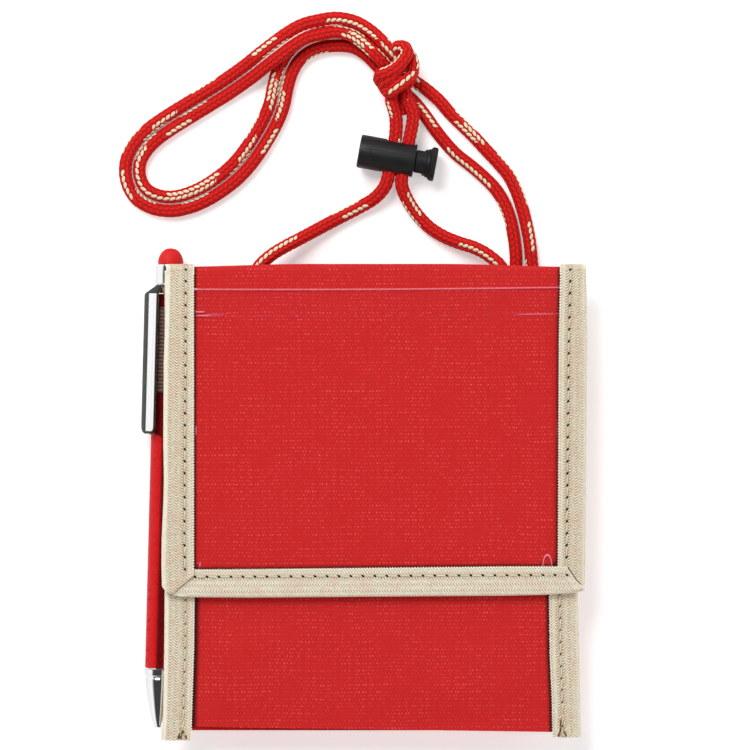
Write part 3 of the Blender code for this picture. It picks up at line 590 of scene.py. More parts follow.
def elastic_finish():
    """Ribbed elastic: fine ribs along the band with a knitted grain, lighter on the ribs' crests as painted highlight.
    """
    look = settings("wallet_cloth")
    band = Finish("ribbed_elastic", look.elastic, 0.85, Sheen_Weight=0.2, Sheen_Roughness=0.5)
    across, along = band.map_place("cloth")
    height = (across * (math.tau / 0.0011)).sine() + (along * (math.tau / 0.0008)).sine() * 0.4
    # painted highlight on the ribs' crests
    band.put("Base Color", band.mix(height.remap(-0.4, 1.3), look.elastic, raised(look.elastic, 3.0, 0.01)))
    band.put("Normal", band.bump(height, 0.00012))
    return band.material


def fastener_finish(name, pitch, light):
    """Hook or loop tape: rows of small knots on a woven ground, lighter on the knots' tops as painted highlight."""
    look = settings("wallet_cloth")
    pile = Finish(name, look.fastener, 0.9, Sheen_Weight=0.25, Sheen_Roughness=0.6)
    across, along = pile.map_place("cloth")
    fuzz = pile.noise(pile.join_place(across, along), 2600.0, 3.0)
    height = (across * (math.tau / pitch)).sine() * (along * (math.tau / pitch)).sine() + fuzz * 1.4
    # painted highlight on the knots' tops
    pile.put("Base Color", pile.mix(height.remap(0.2, 1.5), look.fastener, raised(look.fastener, light, 0.02)))
    pile.put("Normal", pile.bump(height, 0.0002))
    return pile.material


def thread_finish(name, colour):
    """Twisted sewing thread."""
    thread = Finish(name, colour, 0.7, Sheen_Weight=0.1)
    twist = thread.noise(thread.object_place(), 5200.0)
    thread.put("Base Color", thread.mix(twist.remap(0.35, 0.65), scaled(colour, 0.6), colour))
    thread.put("Normal", thread.bump(twist, 0.00005))
    return thread.material


# Cord

CORD_DIAMETER = 0.0035
CORD_RADIUS = 0.00201
STRAND_PITCH = 0.0041
CORD_COLUMNS = 8
RING_STEP = 0.00036
ROUTE_STEP = 0.0050
SPAN_STEPS = 12

# Routes of the cord in pixels, with the height above the floor in strand pitches
LEFT_END_ROUTE = [
    (254.4, 274.0, 1.73), (262.2, 262.7, 1.70), (275.9, 251.7, 1.40), (292.3, 242.5, 0.92),
    (308.0, 234.0, 0.45), (330.6, 221.7, 0.08), (354.0, 209.5, 0.02), (372.0, 199.5, 0.22),
    (382.5, 190.0, 0.52),
]
LEFT_NECK_ROUTE = [(397.0, 122.0, 0.86), (393.6, 109.0, 0.96), (391.2, 99.5, 1.10)]
RIGHT_END_ROUTE = [
    (505.6, 274.0, 1.73), (498.0, 263.5, 1.70), (485.1, 252.8, 1.40), (470.0, 245.6, 0.92),
    (454.0, 240.5, 0.45), (432.4, 229.0, 0.08), (414.7, 210.7, 0.15), (405.0, 194.0, 0.50),
]
RIGHT_NECK_ROUTE = [(414.0, 122.0, 0.86), (411.5, 108.0, 0.96), (407.0, 98.2, 1.10)]
PAIR_ROUTE = [
    (379.5, 48.0, 1.50), (371.0, 39.5, 1.28), (356.0, 29.0, 1.08), (338.0, 24.5, 1.00),
    (318.0, 27.0, 1.05), (299.0, 33.0, 1.10), (283.0, 44.0, 1.12), (268.0, 55.0, 0.90),
    (250.0, 69.0, 0.36), (236.0, 79.0, 0.06), (223.5, 87.5, 0.0), (198.5, 103.0, 0.0),
    (172.5, 119.0, 0.0), (153.5, 132.0, 0.0), (140.5, 145.0, 0.0), (133.0, 158.5, 0.0),
    (131.5, 172.0, 0.0), (135.5, 187.0, 0.0), (146.0, 197.5, 0.0), (160.0, 202.5, 0.0),
    (175.0, 203.0, 0.0), (189.0, 199.5, 0.0), (203.0, 193.5, 0.0), (217.0, 185.0, 0.0),
    (233.0, 172.5, 0.0), (247.0, 157.0, 0.0), (259.5, 138.5, 0.0), (270.0, 120.0, 0.0),
    (276.5, 103.0, 0.0), (280.5, 84.0, 0.0), (286.5, 66.0, 0.0), (297.5, 50.5, 0.0),
    (314.0, 41.0, 0.0), (335.0, 37.5, 0.0), (354.0, 39.0, 0.0), (369.0, 47.0, 0.0),
    (382.0, 59.5, 0.0), (394.0, 72.0, 0.0),
]
INNER_ROUTE = [
    (404.5, 91.5, 0.0), (419.0, 106.0, 0.0), (434.0, 127.0, 0.0), (454.0, 151.0, 0.0),
    (478.0, 170.5, 0.0), (498.0, 191.0, 0.0), (509.0, 213.0, 0.0), (514.5, 237.0, 0.0),
    (516.5, 260.0, 0.0),
]
OUTER_ROUTE = [
    (417.0, 82.0, 0.0), (434.0, 94.0, 0.0), (451.0, 113.0, 0.0), (473.5, 135.0, 0.0),
    (490.0, 153.0, 0.0), (509.0, 174.5, 0.0), (521.0, 202.0, 0.0), (529.5, 237.0, 0.0),
    (532.0, 260.0, 0.0),
]
HIDDEN_ROUTE = [
    (514.0, 281.0, 0.0), (505.0, 297.0, 0.0), (489.0, 306.5, 0.0), (467.0, 309.0, 0.0),
    (430.0, 309.0, 0.0), (407.0, 307.0, 0.0), (387.0, 298.5, 0.0), (369.0, 286.0, 0.0),
    (352.0, 276.5, 0.0), (334.0, 273.8, 0.0), (317.0, 281.0, 0.0), (309.6, 298.2, 0.0),
    (317.0, 315.4, 0.0), (334.0, 322.6, 0.0), (375.0, 322.8, 0.0), (443.5, 322.8, 0.0),
    (488.0, 321.5, 0.0), (512.0, 315.0, 0.0), (527.0, 301.0, 0.0), (532.5, 282.0, 0.0),
]

# The knot's strands as seen in the photograph: pixel x, pixel y and height in millimetres
KNOT_STRANDS = [
    [(391.0, 57.0, 5.5), (393.5, 51.0, 7.5), (398.0, 46.8, 9.0), (404.3, 47.0, 10.4), (407.0, 52.5, 11.2),
     (403.5, 60.0, 11.8), (396.5, 67.5, 12.0), (388.0, 72.6, 11.4), (381.0, 74.6, 9.6), (379.6, 79.5, 7.0),
     (384.0, 84.0, 5.2)],
    [(410.0, 58.0, 5.6), (407.0, 64.0, 7.2), (400.5, 70.5, 9.2), (393.0, 77.0, 10.4), (385.8, 81.5, 9.0),
     (384.0, 86.0, 6.6), (388.0, 90.0, 5.0)],
    [(413.5, 67.0, 7.2), (411.8, 74.0, 9.0), (405.2, 80.5, 10.4), (397.5, 86.5, 10.6), (391.0, 91.0, 9.4),
     (387.0, 90.6, 7.2), (387.0, 86.0, 5.2)],
    [(404.5, 50.0, 7.0), (410.0, 55.0, 8.2), (412.8, 62.0, 8.8), (412.8, 69.0, 8.8), (410.5, 76.0, 8.2),
     (407.0, 83.0, 6.6), (401.0, 90.0, 5.2)],
    [(382.4, 41.0, 7.8), (384.4, 43.0, 7.9), (391.6, 50.6, 8.1), (397.5, 58.5, 7.6), (398.0, 71.0, 6.2),
     (393.5, 86.0, 5.9), (391.2, 99.5, 6.26), (391.6, 102.0, 6.2)],
    [(372.7, 51.2, 7.8), (374.7, 53.1, 7.9), (381.8, 60.4, 7.8), (388.5, 68.0, 7.0), (397.0, 78.5, 5.6),
     (404.5, 88.5, 5.8), (407.0, 98.2, 6.26), (407.9, 100.5, 6.2)],
    [(398.0, 82.0, 4.4), (399.0, 92.0, 4.2), (400.5, 103.0, 3.9), (402.0, 114.0, 3.4)],
]
KNOT_RADIUS = 0.00197
KNOT_YARN = (0, 60, 5, 45, 20, 70, 33)

# Cord lock, along its own Z from the closed end
LOCK_END = (358.9, 150.3)
LOCK_TILT = 10.3
LOCK_AXIS_Z = 0.0051
LOCK_LENGTH = 0.0167
LOCK_RADIUS = 0.0049
LOCK_EDGE = 0.0005
LOCK_BORE = 0.0040
LOCK_FLOOR = 0.0012
SLOT_MIDDLE = 0.0118
SLOT_HALF = 0.00415
SLOT_HEIGHT = 0.0042
SHAFT_RADIUS = 0.0037
PLUNGER_START = 0.0065
PLUNGER_TRAVEL = 0.0033
PLAY = 0.00005
SPRING_RADIUS = 0.0026
SPRING_WIRE = 0.0002
SPRING_TURNS = 4
HEAD_START = 0.0202
HEAD_LENGTH = 0.0028
HEAD_RADIUS = 0.0050
LOCK_REACH = HEAD_RADIUS + 0.001


def lock_matrix():
    tilt = math.radians(LOCK_TILT)
    along = Vector((math.cos(tilt), -math.sin(tilt), 0))
    across = Vector((math.sin(tilt), math.cos(tilt), 0))
    axes = Matrix((across.cross(along), across, along)).transposed().to_4x4()
    return Matrix.Translation(at_pixel(*LOCK_END, LOCK_AXIS_Z)) @ axes


def route_places(route):
    return [at_pixel(x, y, CORD_DIAMETER / 2 + height * STRAND_PITCH) for x, y, height in route]


def mix_places(one, two, start, finish, now):
    share = (now - start) / (finish - start)
    return one * (1 - share) + two * share


def smooth_curve(places):
    """A smooth curve through all places, with even bends."""
    ends = [places[0] * 2 - places[1]] + list(places) + [places[-1] * 2 - places[-2]]
    curve = []
    for first, second, third, fourth in zip(ends, ends[1:], ends[2:], ends[3:]):
        one = math.sqrt((second - first).length)
        two = one + math.sqrt((third - second).length)
        three = two + math.sqrt((fourth - third).length)
        for step in range(SPAN_STEPS):
            now = one + (two - one) * step / SPAN_STEPS
            start = mix_places(first, second, 0, one, now)
            middle = mix_places(second, third, one, two, now)
            finish = mix_places(third, fourth, two, three, now)
            start = mix_places(start, middle, 0, two, now)
            finish = mix_places(middle, finish, one, three, now)
            curve.append(mix_places(start, finish, one, two, now))
    curve.append(places[-1].copy())
    return curve


def even_points(curve, step):
    lengths = [0.0]
    for one, two in zip(curve, curve[1:]):
        lengths.append(lengths[-1] + (two - one).length)
    count = max(2, round(lengths[-1] / step))
    points = []
    index = 0
    for number in range(count):
        along = lengths[-1] * number / count
        while lengths[index + 1] < along:
            index += 1
        points.append(mix_places(curve[index], curve[index + 1], lengths[index], lengths[index + 1], along))
    points.append(curve[-1].copy())
    return points


def route_length(points):
    return sum((two - one).length for one, two in zip(points, points[1:]))


def beside(points, offset):
    """The line that runs beside a route in plan, to its right for a positive offset."""
    line = []
    for index, place in enumerate(points):
        along = points[min(index + 1, len(points) - 1)] - points[max(index - 1, 0)]
        line.append(place + Vector((along.y, -along.x, 0)).normalized() * offset)
    return line


def plait_relief(column, bead):
    """Height of the plait, from 0 between the beads to 1 on top of one."""
    number = np.floor(column + 1e-6)
    side = column - number - 0.5
    odd = number % 2
    bead = bead + odd * 0.5 + side * (odd * 1.1 - 0.55)
    rise = bead - np.floor(bead) - 0.5
    return np.clip(1 - side ** 2 * 3.4 - rise ** 2 * 2.8, 0, 1)


def plaited_tube(name, places, radius=CORD_RADIUS, bead=0.0):
    """A cord round a smooth path, with the plait's beads standing out of its surface."""
    look = settings("wallet_cord")
    path = even_points(smooth_curve(places), RING_STEP)
    sides = look.sides
    normal = Vector((0, 0, 1))
    rings, maps = [], []
    angles = np.arange(sides + 1) / sides
    for index, place in enumerate(path):
        ahead = path[min(index + 1, len(path) - 1)] - path[max(index - 1, 0)]
        ahead.normalize()
        normal = (normal - ahead * normal.dot(ahead)).normalized()
        across = ahead.cross(normal)
        column = angles * CORD_COLUMNS
        relief = plait_relief(column % CORD_COLUMNS, np.full(sides + 1, bead))
        reach = radius - look.relief * (1 - relief)
        turns = angles * math.tau
        spokes = np.outer(np.cos(turns) * reach, normal) + np.outer(np.sin(turns) * reach, across)
        rings.append(spokes + np.array(place))
        maps.append(np.column_stack([column, np.full(sides + 1, bead)]))
        bead += RING_STEP / look.bead
    shape = bmesh.new()
    layer = shape.loops.layers.uv.new("plait")
    verts = [[shape.verts.new(place) for place in ring[:sides]] for ring in rings]
    for row in range(len(path) - 1):
        for side in range(sides):
            after = (side + 1) % sides
            low, high = verts[row], verts[row + 1]
            face = shape.faces.new((low[side], low[after], high[after], high[side]))
            face.smooth = True
            spots = ((row, side), (row, side + 1), (row + 1, side + 1), (row + 1, side))
            for loop, (line, spot) in zip(face.loops, spots):
                loop[layer].uv = maps[line][spot]
    for ring in (verts[0][::-1], verts[-1]):
        for loop in shape.faces.new(ring).loops:
            loop[layer].uv = (0.5, 0.5)
    bmesh.ops.recalc_face_normals(shape, faces=shape.faces)
    mesh = bpy.data.meshes.new(name)
    shape.to_mesh(mesh)
    shape.free()
    return linked(name, mesh), path


def lock_strand(side):
    """Places of one strand as it runs straight through the lock."""
    rise = SLOT_MIDDLE + side * STRAND_PITCH / 2
    reach = LOCK_RADIUS + CORD_DIAMETER / 2
    return [lock_matrix() @ Vector((0, across, rise)) for across in (-reach, 0, reach)]


def cord_end_places(tab, before, after, side):
    """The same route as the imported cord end: out of its tab, through the lock, to the knot."""
    low, high = corners(tab)
    start = Vector(((low.x + high.x) / 2, high.y + 0.0008, (low.z + high.z) / 2))
    places = [start] + route_places(before) + lock_strand(side) + route_places(after)
    return even_points(smooth_curve(places), ROUTE_STEP)


def neck_loop_places():
    """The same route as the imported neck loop: round as a pair, then the bight behind the top edge."""
    pair = even_points(smooth_curve(route_places(PAIR_ROUTE)), ROUTE_STEP)
    right = beside(pair, STRAND_PITCH / 2)
    left = beside(pair, -STRAND_PITCH / 2)
    places = right[-2:] + route_places(INNER_ROUTE) + route_places(HIDDEN_ROUTE)
    places += route_places(reversed(OUTER_ROUTE)) + list(reversed(left[-2:]))
    bight = even_points(smooth_curve(places)[SPAN_STEPS:-SPAN_STEPS], ROUTE_STEP)
    return right[:-1] + bight + list(reversed(left[:-1]))


def declare_cord(path):
    points = path[::4] + [path[-1]]
    route_length(path)


class WALLET_OT_cord(bpy.types.Operator):
    """Plait the cord's three stretches and tie the knot."""
    bl_idname = "wallet.cord"
    bl_label = "Cord and knot"

    def execute(self, context):
        finish = braid_finish()
        strands = []
        for number, strand in enumerate(KNOT_STRANDS):
            places = [at_pixel(x, y, height / 1000) for x, y, height in strand]
            strands.append(plaited_tube(f"knot_strand_{number}", places, KNOT_RADIUS, KNOT_YARN[number])[0])
        knot = join("overhand_knot", strands)
        dress(knot, finish, "wallet", ["cord_knot"])
        ends = (
            ("cord_left_end", "cord_tab_left", LEFT_END_ROUTE, LEFT_NECK_ROUTE, -1),
            ("cord_right_end", "cord_tab_right", RIGHT_END_ROUTE, RIGHT_NECK_ROUTE, 1),
        )
        for node, tab, before, after, side in ends:
            piece, path = plaited_tube("plaited_" + node, cord_end_places(tab, before, after, side))
            dress(piece, finish, "wallet", [node])
            declare_cord(path)
        piece, path = plaited_tube("plaited_neck_loop", neck_loop_places())
        dress(piece, finish, "wallet", ["cord_neck_loop"])
        declare_cord(path)
        return {"FINISHED"}


# Hard pieces

def turned(name, stations, sides=64):
    """A piece turned up its Z: a disc, then an extrusion and a resize for each rise and radius."""
    rise, radius = stations[0]
    deselect()
    bpy.ops.mesh.primitive_circle_add(vertices=sides, radius=radius, fill_type="NGON", location=(0, 0, 0))
    piece = bpy.context.view_layer.objects.active
    piece.name = name
    edit()
    bpy.ops.transform.translate(value=(0, 0, rise))
    for (low, old), (high, new) in zip(stations, stations[1:]):
        bpy.ops.mesh.extrude_region_move(TRANSFORM_OT_translate={"value": (0, 0, high - low)})
        bpy.ops.transform.resize(value=(new / old, new / old, 1), center_override=(0, 0, high))
    close_up()
    return piece


def block(name, low, high, rounding=0.0, segments=2):
    """A box between two corners with rounded edges."""
    deselect()
    middle = (Vector(low) + Vector(high)) / 2
    size = Vector(high) - Vector(low)
    bpy.ops.mesh.primitive_cube_add(size=1, location=middle, scale=size)
    piece = bpy.context.view_layer.objects.active
    piece.name = name
    apply_place(piece)
    if rounding:
        edit()
        bpy.ops.mesh.bevel(offset=rounding, segments=segments, affect="EDGES")
        leave_edit()
    return piece


def carve(piece, cutter):
    """Cut one piece with another, which is used up."""
    boolean = piece.modifiers.new("carve", "BOOLEAN")
    boolean.operation = "DIFFERENCE"
    boolean.solver = "EXACT"
    boolean.object = cutter
    apply_modifiers(piece)
    bpy.data.objects.remove(cutter, do_unlink=True)


def move(piece, matrix):
    """Put a piece made round its own axis in place, with its place in its mesh."""
    piece.matrix_world = matrix
    apply_place(piece)
    return piece


def lay(piece, matrix, angle):
    """Put a finished piece in place and smooth its faces up to an angle."""
    move(piece, matrix)
    smooth(piece, angle)
    return piece


class WALLET_OT_cord_lock(bpy.types.Operator):
    """Turn the lock's barrel and plunger, cut the slots that the cord runs through, and wind the spring."""
    bl_idname = "wallet.cord_lock"
    bl_label = "Cord lock"

    def execute(self, context):
        look = settings("wallet_hardware")
        finish = moulded_finish("moulded_black", look.lock, 0.46, 0.00004, Specular_IOR_Level=0.26)
        matrix = lock_matrix()
        barrel = lay(self.make_barrel(look.mould), matrix, 30)
        dress(barrel, finish, "wallet", ["lock_barrel"])
        plunger = lay(self.make_plunger(), matrix, 30)
        dress(plunger, finish, "plunger", ["lock_plunger"])
        self.wind_spring(matrix)
        return {"FINISHED"}

    def cord_room(self, name, more, rounding, segments):
        """A block as large as the opening that the cord runs through."""
        low = (-SLOT_HEIGHT / 2, -LOCK_REACH, SLOT_MIDDLE - SLOT_HALF)
        return block(name, low, (SLOT_HEIGHT / 2, LOCK_REACH, SLOT_MIDDLE + SLOT_HALF + more), rounding, segments)

    def make_barrel(self, mould):
        """The hollow barrel with its cross slot, two mould lines and the gate mark on its closed end."""
        radius, length, edge = LOCK_RADIUS, LOCK_LENGTH, LOCK_EDGE
        barrel = turned("lock_barrel_moulded", [
            (0, radius - edge), (edge * 0.3, radius - edge * 0.3), (edge, radius), (length - edge * 0.6, radius),
            (length, radius - edge * 0.6), (length, LOCK_BORE + edge * 0.4), (length - edge * 0.4, LOCK_BORE),
            (LOCK_FLOOR, LOCK_BORE)])
        carve(barrel, self.cord_room("barrel_slot", 0, 0.0007, 3))
        pieces = [barrel]
        for turn in (168, -12):
            angle = math.radians(turn)
            spot = Vector((math.cos(angle), math.sin(angle), 0)) * radius
            size = Vector((mould, mould, 0)) / 2
            foot = spot - size + Vector((0, 0, edge * 2))
            pieces.append(block("ridge", foot, spot + size + Vector((0, 0, length - edge * 2))))
        gate = turned("gate", [(0.0015, 0.0004), (0.0016, 0.00055), (0.00165, 0.0003)], 12)
        spot = Matrix.Translation((-radius + 0.0015, 0, 0.0032))
        pieces.append(move(gate, spot @ Matrix.Rotation(math.radians(-90), 4, "Y")))
        return join("lock_barrel_moulded", pieces)

    def make_plunger(self):
        """The plunger's shaft with its slot, the neck and the notched head."""
        neck, edge, end = LOCK_LENGTH, HEAD_RADIUS, HEAD_START + HEAD_LENGTH
        plunger = turned("lock_plunger_moulded", [
            (PLUNGER_START, SHAFT_RADIUS), (neck + 0.0001, SHAFT_RADIUS), (neck + 0.0003, SHAFT_RADIUS + 0.0002),
            (neck + 0.0034, SHAFT_RADIUS + 0.0002), (neck + 0.0036, SHAFT_RADIUS + 0.0005),
            (neck + 0.0042, edge - 0.0007), (neck + 0.0047, edge), (end - 0.0005, edge), (end - 0.00015, edge - 0.0002),
            (end, edge - 0.0007), (end, edge - 0.0016), (end - 0.0003, edge - 0.0019)])
        carve(plunger, self.cord_room("plunger_slot", PLUNGER_TRAVEL + PLAY, 0.0005, 2))
        notch = (0.0012, 0.0008 - edge, HEAD_START + 0.0017)
        carve(plunger, block("head_notch", (-0.0012, -LOCK_REACH, HEAD_START), notch))
        return plunger

    def wind_spring(self, matrix):
        """A wire ring screwed up the lock's bore."""
        low, high = LOCK_FLOOR + GAP, PLUNGER_START - GAP
        deselect()
        bpy.ops.mesh.primitive_circle_add(
            vertices=10, radius=SPRING_WIRE, fill_type="NOTHING", location=(SPRING_RADIUS, 0, low + SPRING_WIRE),
            rotation=(math.pi / 2, 0, 0))
        spring = bpy.context.view_layer.objects.active
        spring.name = "lock_spring_wound"
        apply_place(spring)
        screw = spring.modifiers.new("wind", "SCREW")
        screw.angle = math.tau * SPRING_TURNS
        screw.screw_offset = high - low - SPRING_WIRE * 2
        screw.steps = screw.render_steps = 20 * SPRING_TURNS
        apply_modifiers(spring)
        edit()
        bpy.ops.mesh.fill_holes(sides=12)
        close_up()
        wire = metal_finish("spring_wire", (0.62, 0.62, 0.64), 0.25, 2600.0)
        dress(lay(spring, matrix, 50), wire, "wallet", ["lock_spring"])
        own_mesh(spring)


# Cloth, tapes and window

# Thicknesses, and the play that is left between two layers
CLOTH = 0.0005
TAPE = 0.00045
VINYL = 0.0002
GAP = 0.00025
EDGE = TAPE + GAP

# The tapes' weave, the widths of their front and rear legs, and how their faces stray from flat
TAPE_COLUMN = 0.00178
TAPE_RIB = 0.00082
TAPE_WIDTH = 0.0091
HEM_WIDTH = 0.0084
FLAP_REAR_TAPE = 0.0074
POUCH_REAR_TAPE = 0.0068
TOOTH = 0.00017
TOOTH_REACH = 0.0007
CURL = 0.00012
CURL_REACH = 0.0015
TAPE_WAVE = 0.00006
SEAM_DEPTH = 0.00009
SEAM_BEAT = 0.00005
SEAM_REACH = 0.0006

# The tapes' way round the fold: half width, length for each radian, and the tail behind
FOLD_WIDE = 0.00165
FOLD_RUN = 0.0023
TAIL = 0.0050

WINDOW_HEM = 0.0082
CLOTH_STEP = 0.0018
TAPE_STEP = 0.00014

POUCH_LOW, POUCH_HIGH = corners("pouch_tape_left", "pouch_tape_right")
BACK_HIGH = corners("back_panel")[1]
FRONT_LOW, FRONT_HIGH = corners("front_panel")
PANEL_LOW, PANEL_HIGH = corners("flap_panel")
GLASS_LOW, GLASS_HIGH = corners("clear_window")
TRAY_INSET = 0.0071
TRAY_ROUND = 0.005
TRAY_CORNER = 0.008
HINGE_Z = (FOLD_LOW.z + FOLD_HIGH.z) / 2
HINGE_Y = FOLD_TOP - (FOLD_HIGH.z - FOLD_LOW.z) / 2
FOLD_REACH = FOLD_TOP - HINGE_Y
WALL_LEFT = POUCH_LOW.x + TRAY_INSET
WALL_RIGHT = POUCH_HIGH.x - TRAY_INSET
WALL_BOTTOM = FRONT_LOW.y + 0.0006
WALL_TOP = FOLD_TOP - 0.0193

# The tapes' edges in pixels of the photograph: height, then outer edge, inner edge and stitch line
FLAP_LEFT_EDGES = (
    (264, 166.8, 194.3, 186.3), (300, 166.4, 194.3, 186.2), (330, 165.2, 194.3, 186.1), (360, 164.2, 194.3, 185.9),
    (440, 163.7, 194.3, 185.4), (480, 164.3, 194.3, 185.2), (500, 163.8, 194.3, 185.1), (540, 162.1, 194.3, 184.9),
    (565, 161.9, 194.3, 185.4), (597, 162.6, 194.0, 186.3),
)
FLAP_RIGHT_EDGES = (
    (264, 585.8, 560.0, 570.2), (340, 586.9, 558.5, 568.4), (550, 585.0, 557.5, 566.1), (597, 584.6, 557.3, 566.0))
POUCH_LEFT_EDGES = (
    (597, 164.8, 194.8, 185.7), (650, 164.4, 194.2, 185.5), (715, 163.2, 192.1, 183.4), (740, 161.4, 191.7, 183.2))
POUCH_RIGHT_EDGES = (
    (597, 577.9, 548.9, 559.5), (655, 579.2, 549.6, 560.4), (700, 580.2, 551.6, 562.0), (735, 580.7, 552.3, 562.4))

# The flap's lower tape: place across, then lower edge, upper edge and stitch line
HEM_EDGES = (
    (160, 590.0, 569.3, 576.6), (172, 594.2, 569.3, 576.5), (179, 596.0, 569.2, 576.5), (195, 596.8, 569.1, 576.4),
    (250, 597.2, 568.8, 576.2), (510, 595.2, 566.0, 574.7), (548, 594.3, 566.0, 574.5), (565, 593.2, 566.0, 574.5),
    (577, 592.2, 566.2, 574.5), (584, 589.8, 566.5, 574.6),
)

# The mitres: where the side tapes end below, and the ends of the lower tape
LEFT_MITRE = (
    (160.0, 583.5), (162.5, 585.5), (166.0, 590.5), (172.0, 593.4), (192.5, 576.2), (193.2, 574.0), (195.0, 574.0))
RIGHT_MITRE = ((556.0, 571.5), (567.5, 572.5), (576.0, 581.5), (582.2, 587.6), (584.3, 583.8), (586.0, 582.0))
HEM_START = ((566.0, 192.0), (576.0, 189.5), (590.0, 172.5), (598.0, 166.5))
HEM_END = (
    (565.5, 566.5), (567.8, 567.0), (573.5, 571.2), (578.5, 574.2), (583.0, 577.8), (587.5, 581.6), (590.0, 583.6))

# Marks on the window: place across, drop below its top edge, half sizes and strength
WINDOW_STREAKS = (
    (-0.0511, 0.0068, 0.0018, 0.00028, 0.45), (-0.0501, 0.0079, 0.0026, 0.00028, 0.42),
    (-0.0470, 0.0077, 0.0040, 0.00060, 0.10), (0.0470, 0.0079, 0.0080, 0.00022, 0.20),
    (-0.0511, 0.0806, 0.00022, 0.0009, 0.55), (-0.0522, 0.0414, 0.00024, 0.0018, 0.45),
    (0.0531, 0.0410, 0.00012, 0.0030, 0.20),
)

# The hair on the window, half an oval: place across, drop and half sizes
WINDOW_HAIR = (0.0503, 0.0810, 0.0013, 0.0033)

# The tacks that close the pouch's seams: a fork of thread across each seam's foot
POUCH_TACKS = (
    ((183.0, 716.5), (181.0, 724.0), (179.2, 730.0), (177.4, 737.2)),
    ((183.6, 718.0), (184.4, 725.0), (185.4, 731.0), (186.6, 737.2)),
    ((182.6, 722.0), (182.0, 729.0), (181.6, 737.0)),
    ((562.0, 712.0), (560.4, 719.0), (559.0, 726.0), (557.6, 734.6)),
    ((562.4, 714.0), (563.4, 720.5), (565.0, 727.5), (567.0, 734.6)),
    ((562.0, 718.0), (562.0, 726.0), (562.2, 734.4)),
)

# Dark strands laid between them as painted shadow
TACK_SHADOWS = (
    ((182.6, 729.6), (181.6, 735.2), (180.8, 738.6)), ((180.3, 732.2), (178.0, 738.8)),
    ((185.4, 733.6), (187.2, 738.8)), ((560.4, 718.6), (560.2, 726.0)),
    ((560.2, 726.6), (559.8, 731.6), (558.2, 736.4)), ((563.8, 730.4), (566.4, 736.0)),
)


def ripple(x, y, turn=0.0):
    """Slow unevenness of sewn cloth, from -1 to 1."""
    one = np.sin(x * 92 + y * 41 + turn)
    two = np.sin(x * -57 + y * 118 + turn * 2.3)
    three = np.sin(x * 163 + y * 71 - turn)
    return (one + two + three * 0.6) / 2.6


def ease(value, low, high):
    """0 below low, 1 above high, and smooth between."""
    share = np.clip((value - low) / (high - low), 0, 1)
    return share * share * (3 - 2 * share)


def between(x, low, high, start, finish):
    """1 across the middle of a width, easing to 0 near its sides: from finish down to start away from each."""
    return ease(x, low + start, low + finish) * ease(-x, -high + start, -high + finish)


def shell(name, outer, inner, maps, angle=50):
    """Cloth between two grids of places, closed round its four edges."""
    rows, columns = outer.shape[:2]
    count = rows * columns
    places = np.concatenate([outer.reshape(-1, 3), inner.reshape(-1, 3)])
    number = np.arange(count).reshape(rows, columns)
    quads = np.stack([number[:-1, :-1], number[:-1, 1:], number[1:, 1:], number[1:, :-1]], axis=-1).reshape(-1, 4)
    rim = np.concatenate([number[0, :-1], number[:-1, -1], number[-1, :0:-1], number[:0:-1, 0]])
    after = np.roll(rim, -1)
    walls = np.stack([after, rim, rim + count, after + count], axis=-1)
    faces = np.concatenate([quads, quads[:, ::-1] + count, walls])
    doubled = {key: np.tile(value.reshape(-1, 2), (2, 1)) for key, value in maps.items()}
    piece = mesh_piece(name, places, faces, doubled)
    face_outwards(piece)
    smooth(piece, angle)
    return piece


def grid(left, right, bottom, top, step=CLOTH_STEP):
    columns = np.linspace(0, 1, max(2, round((right - left) / step)) + 1)
    rows = np.linspace(0, 1, max(2, round((top - bottom) / step)) + 1)
    across, along = np.meshgrid(columns, rows)
    return left + (right - left) * across, bottom + (top - bottom) * along


def stack(x, y, z):
    return np.stack(np.broadcast_arrays(x, y, z), axis=-1).astype(float)


def flap_lift(x):
    """How much higher than its lowest point the flap's lower edge lies."""
    return hem_line(0)(x) - FLAP_LOW.y


def flap_puff(x, y):
    """The flap's cloth and window stand a little proud between the tapes."""
    inside = between(x, FLAP_LOW.x, FLAP_HIGH.x, 0.008, 0.022)
    inside = inside * ease(y, FLAP_LOW.y + 0.007, FLAP_LOW.y + 0.020) * ease(-y, -0.064, -0.052)
    return inside * (0.00022 + settings("wallet_cloth").ripple * ripple(x, y))


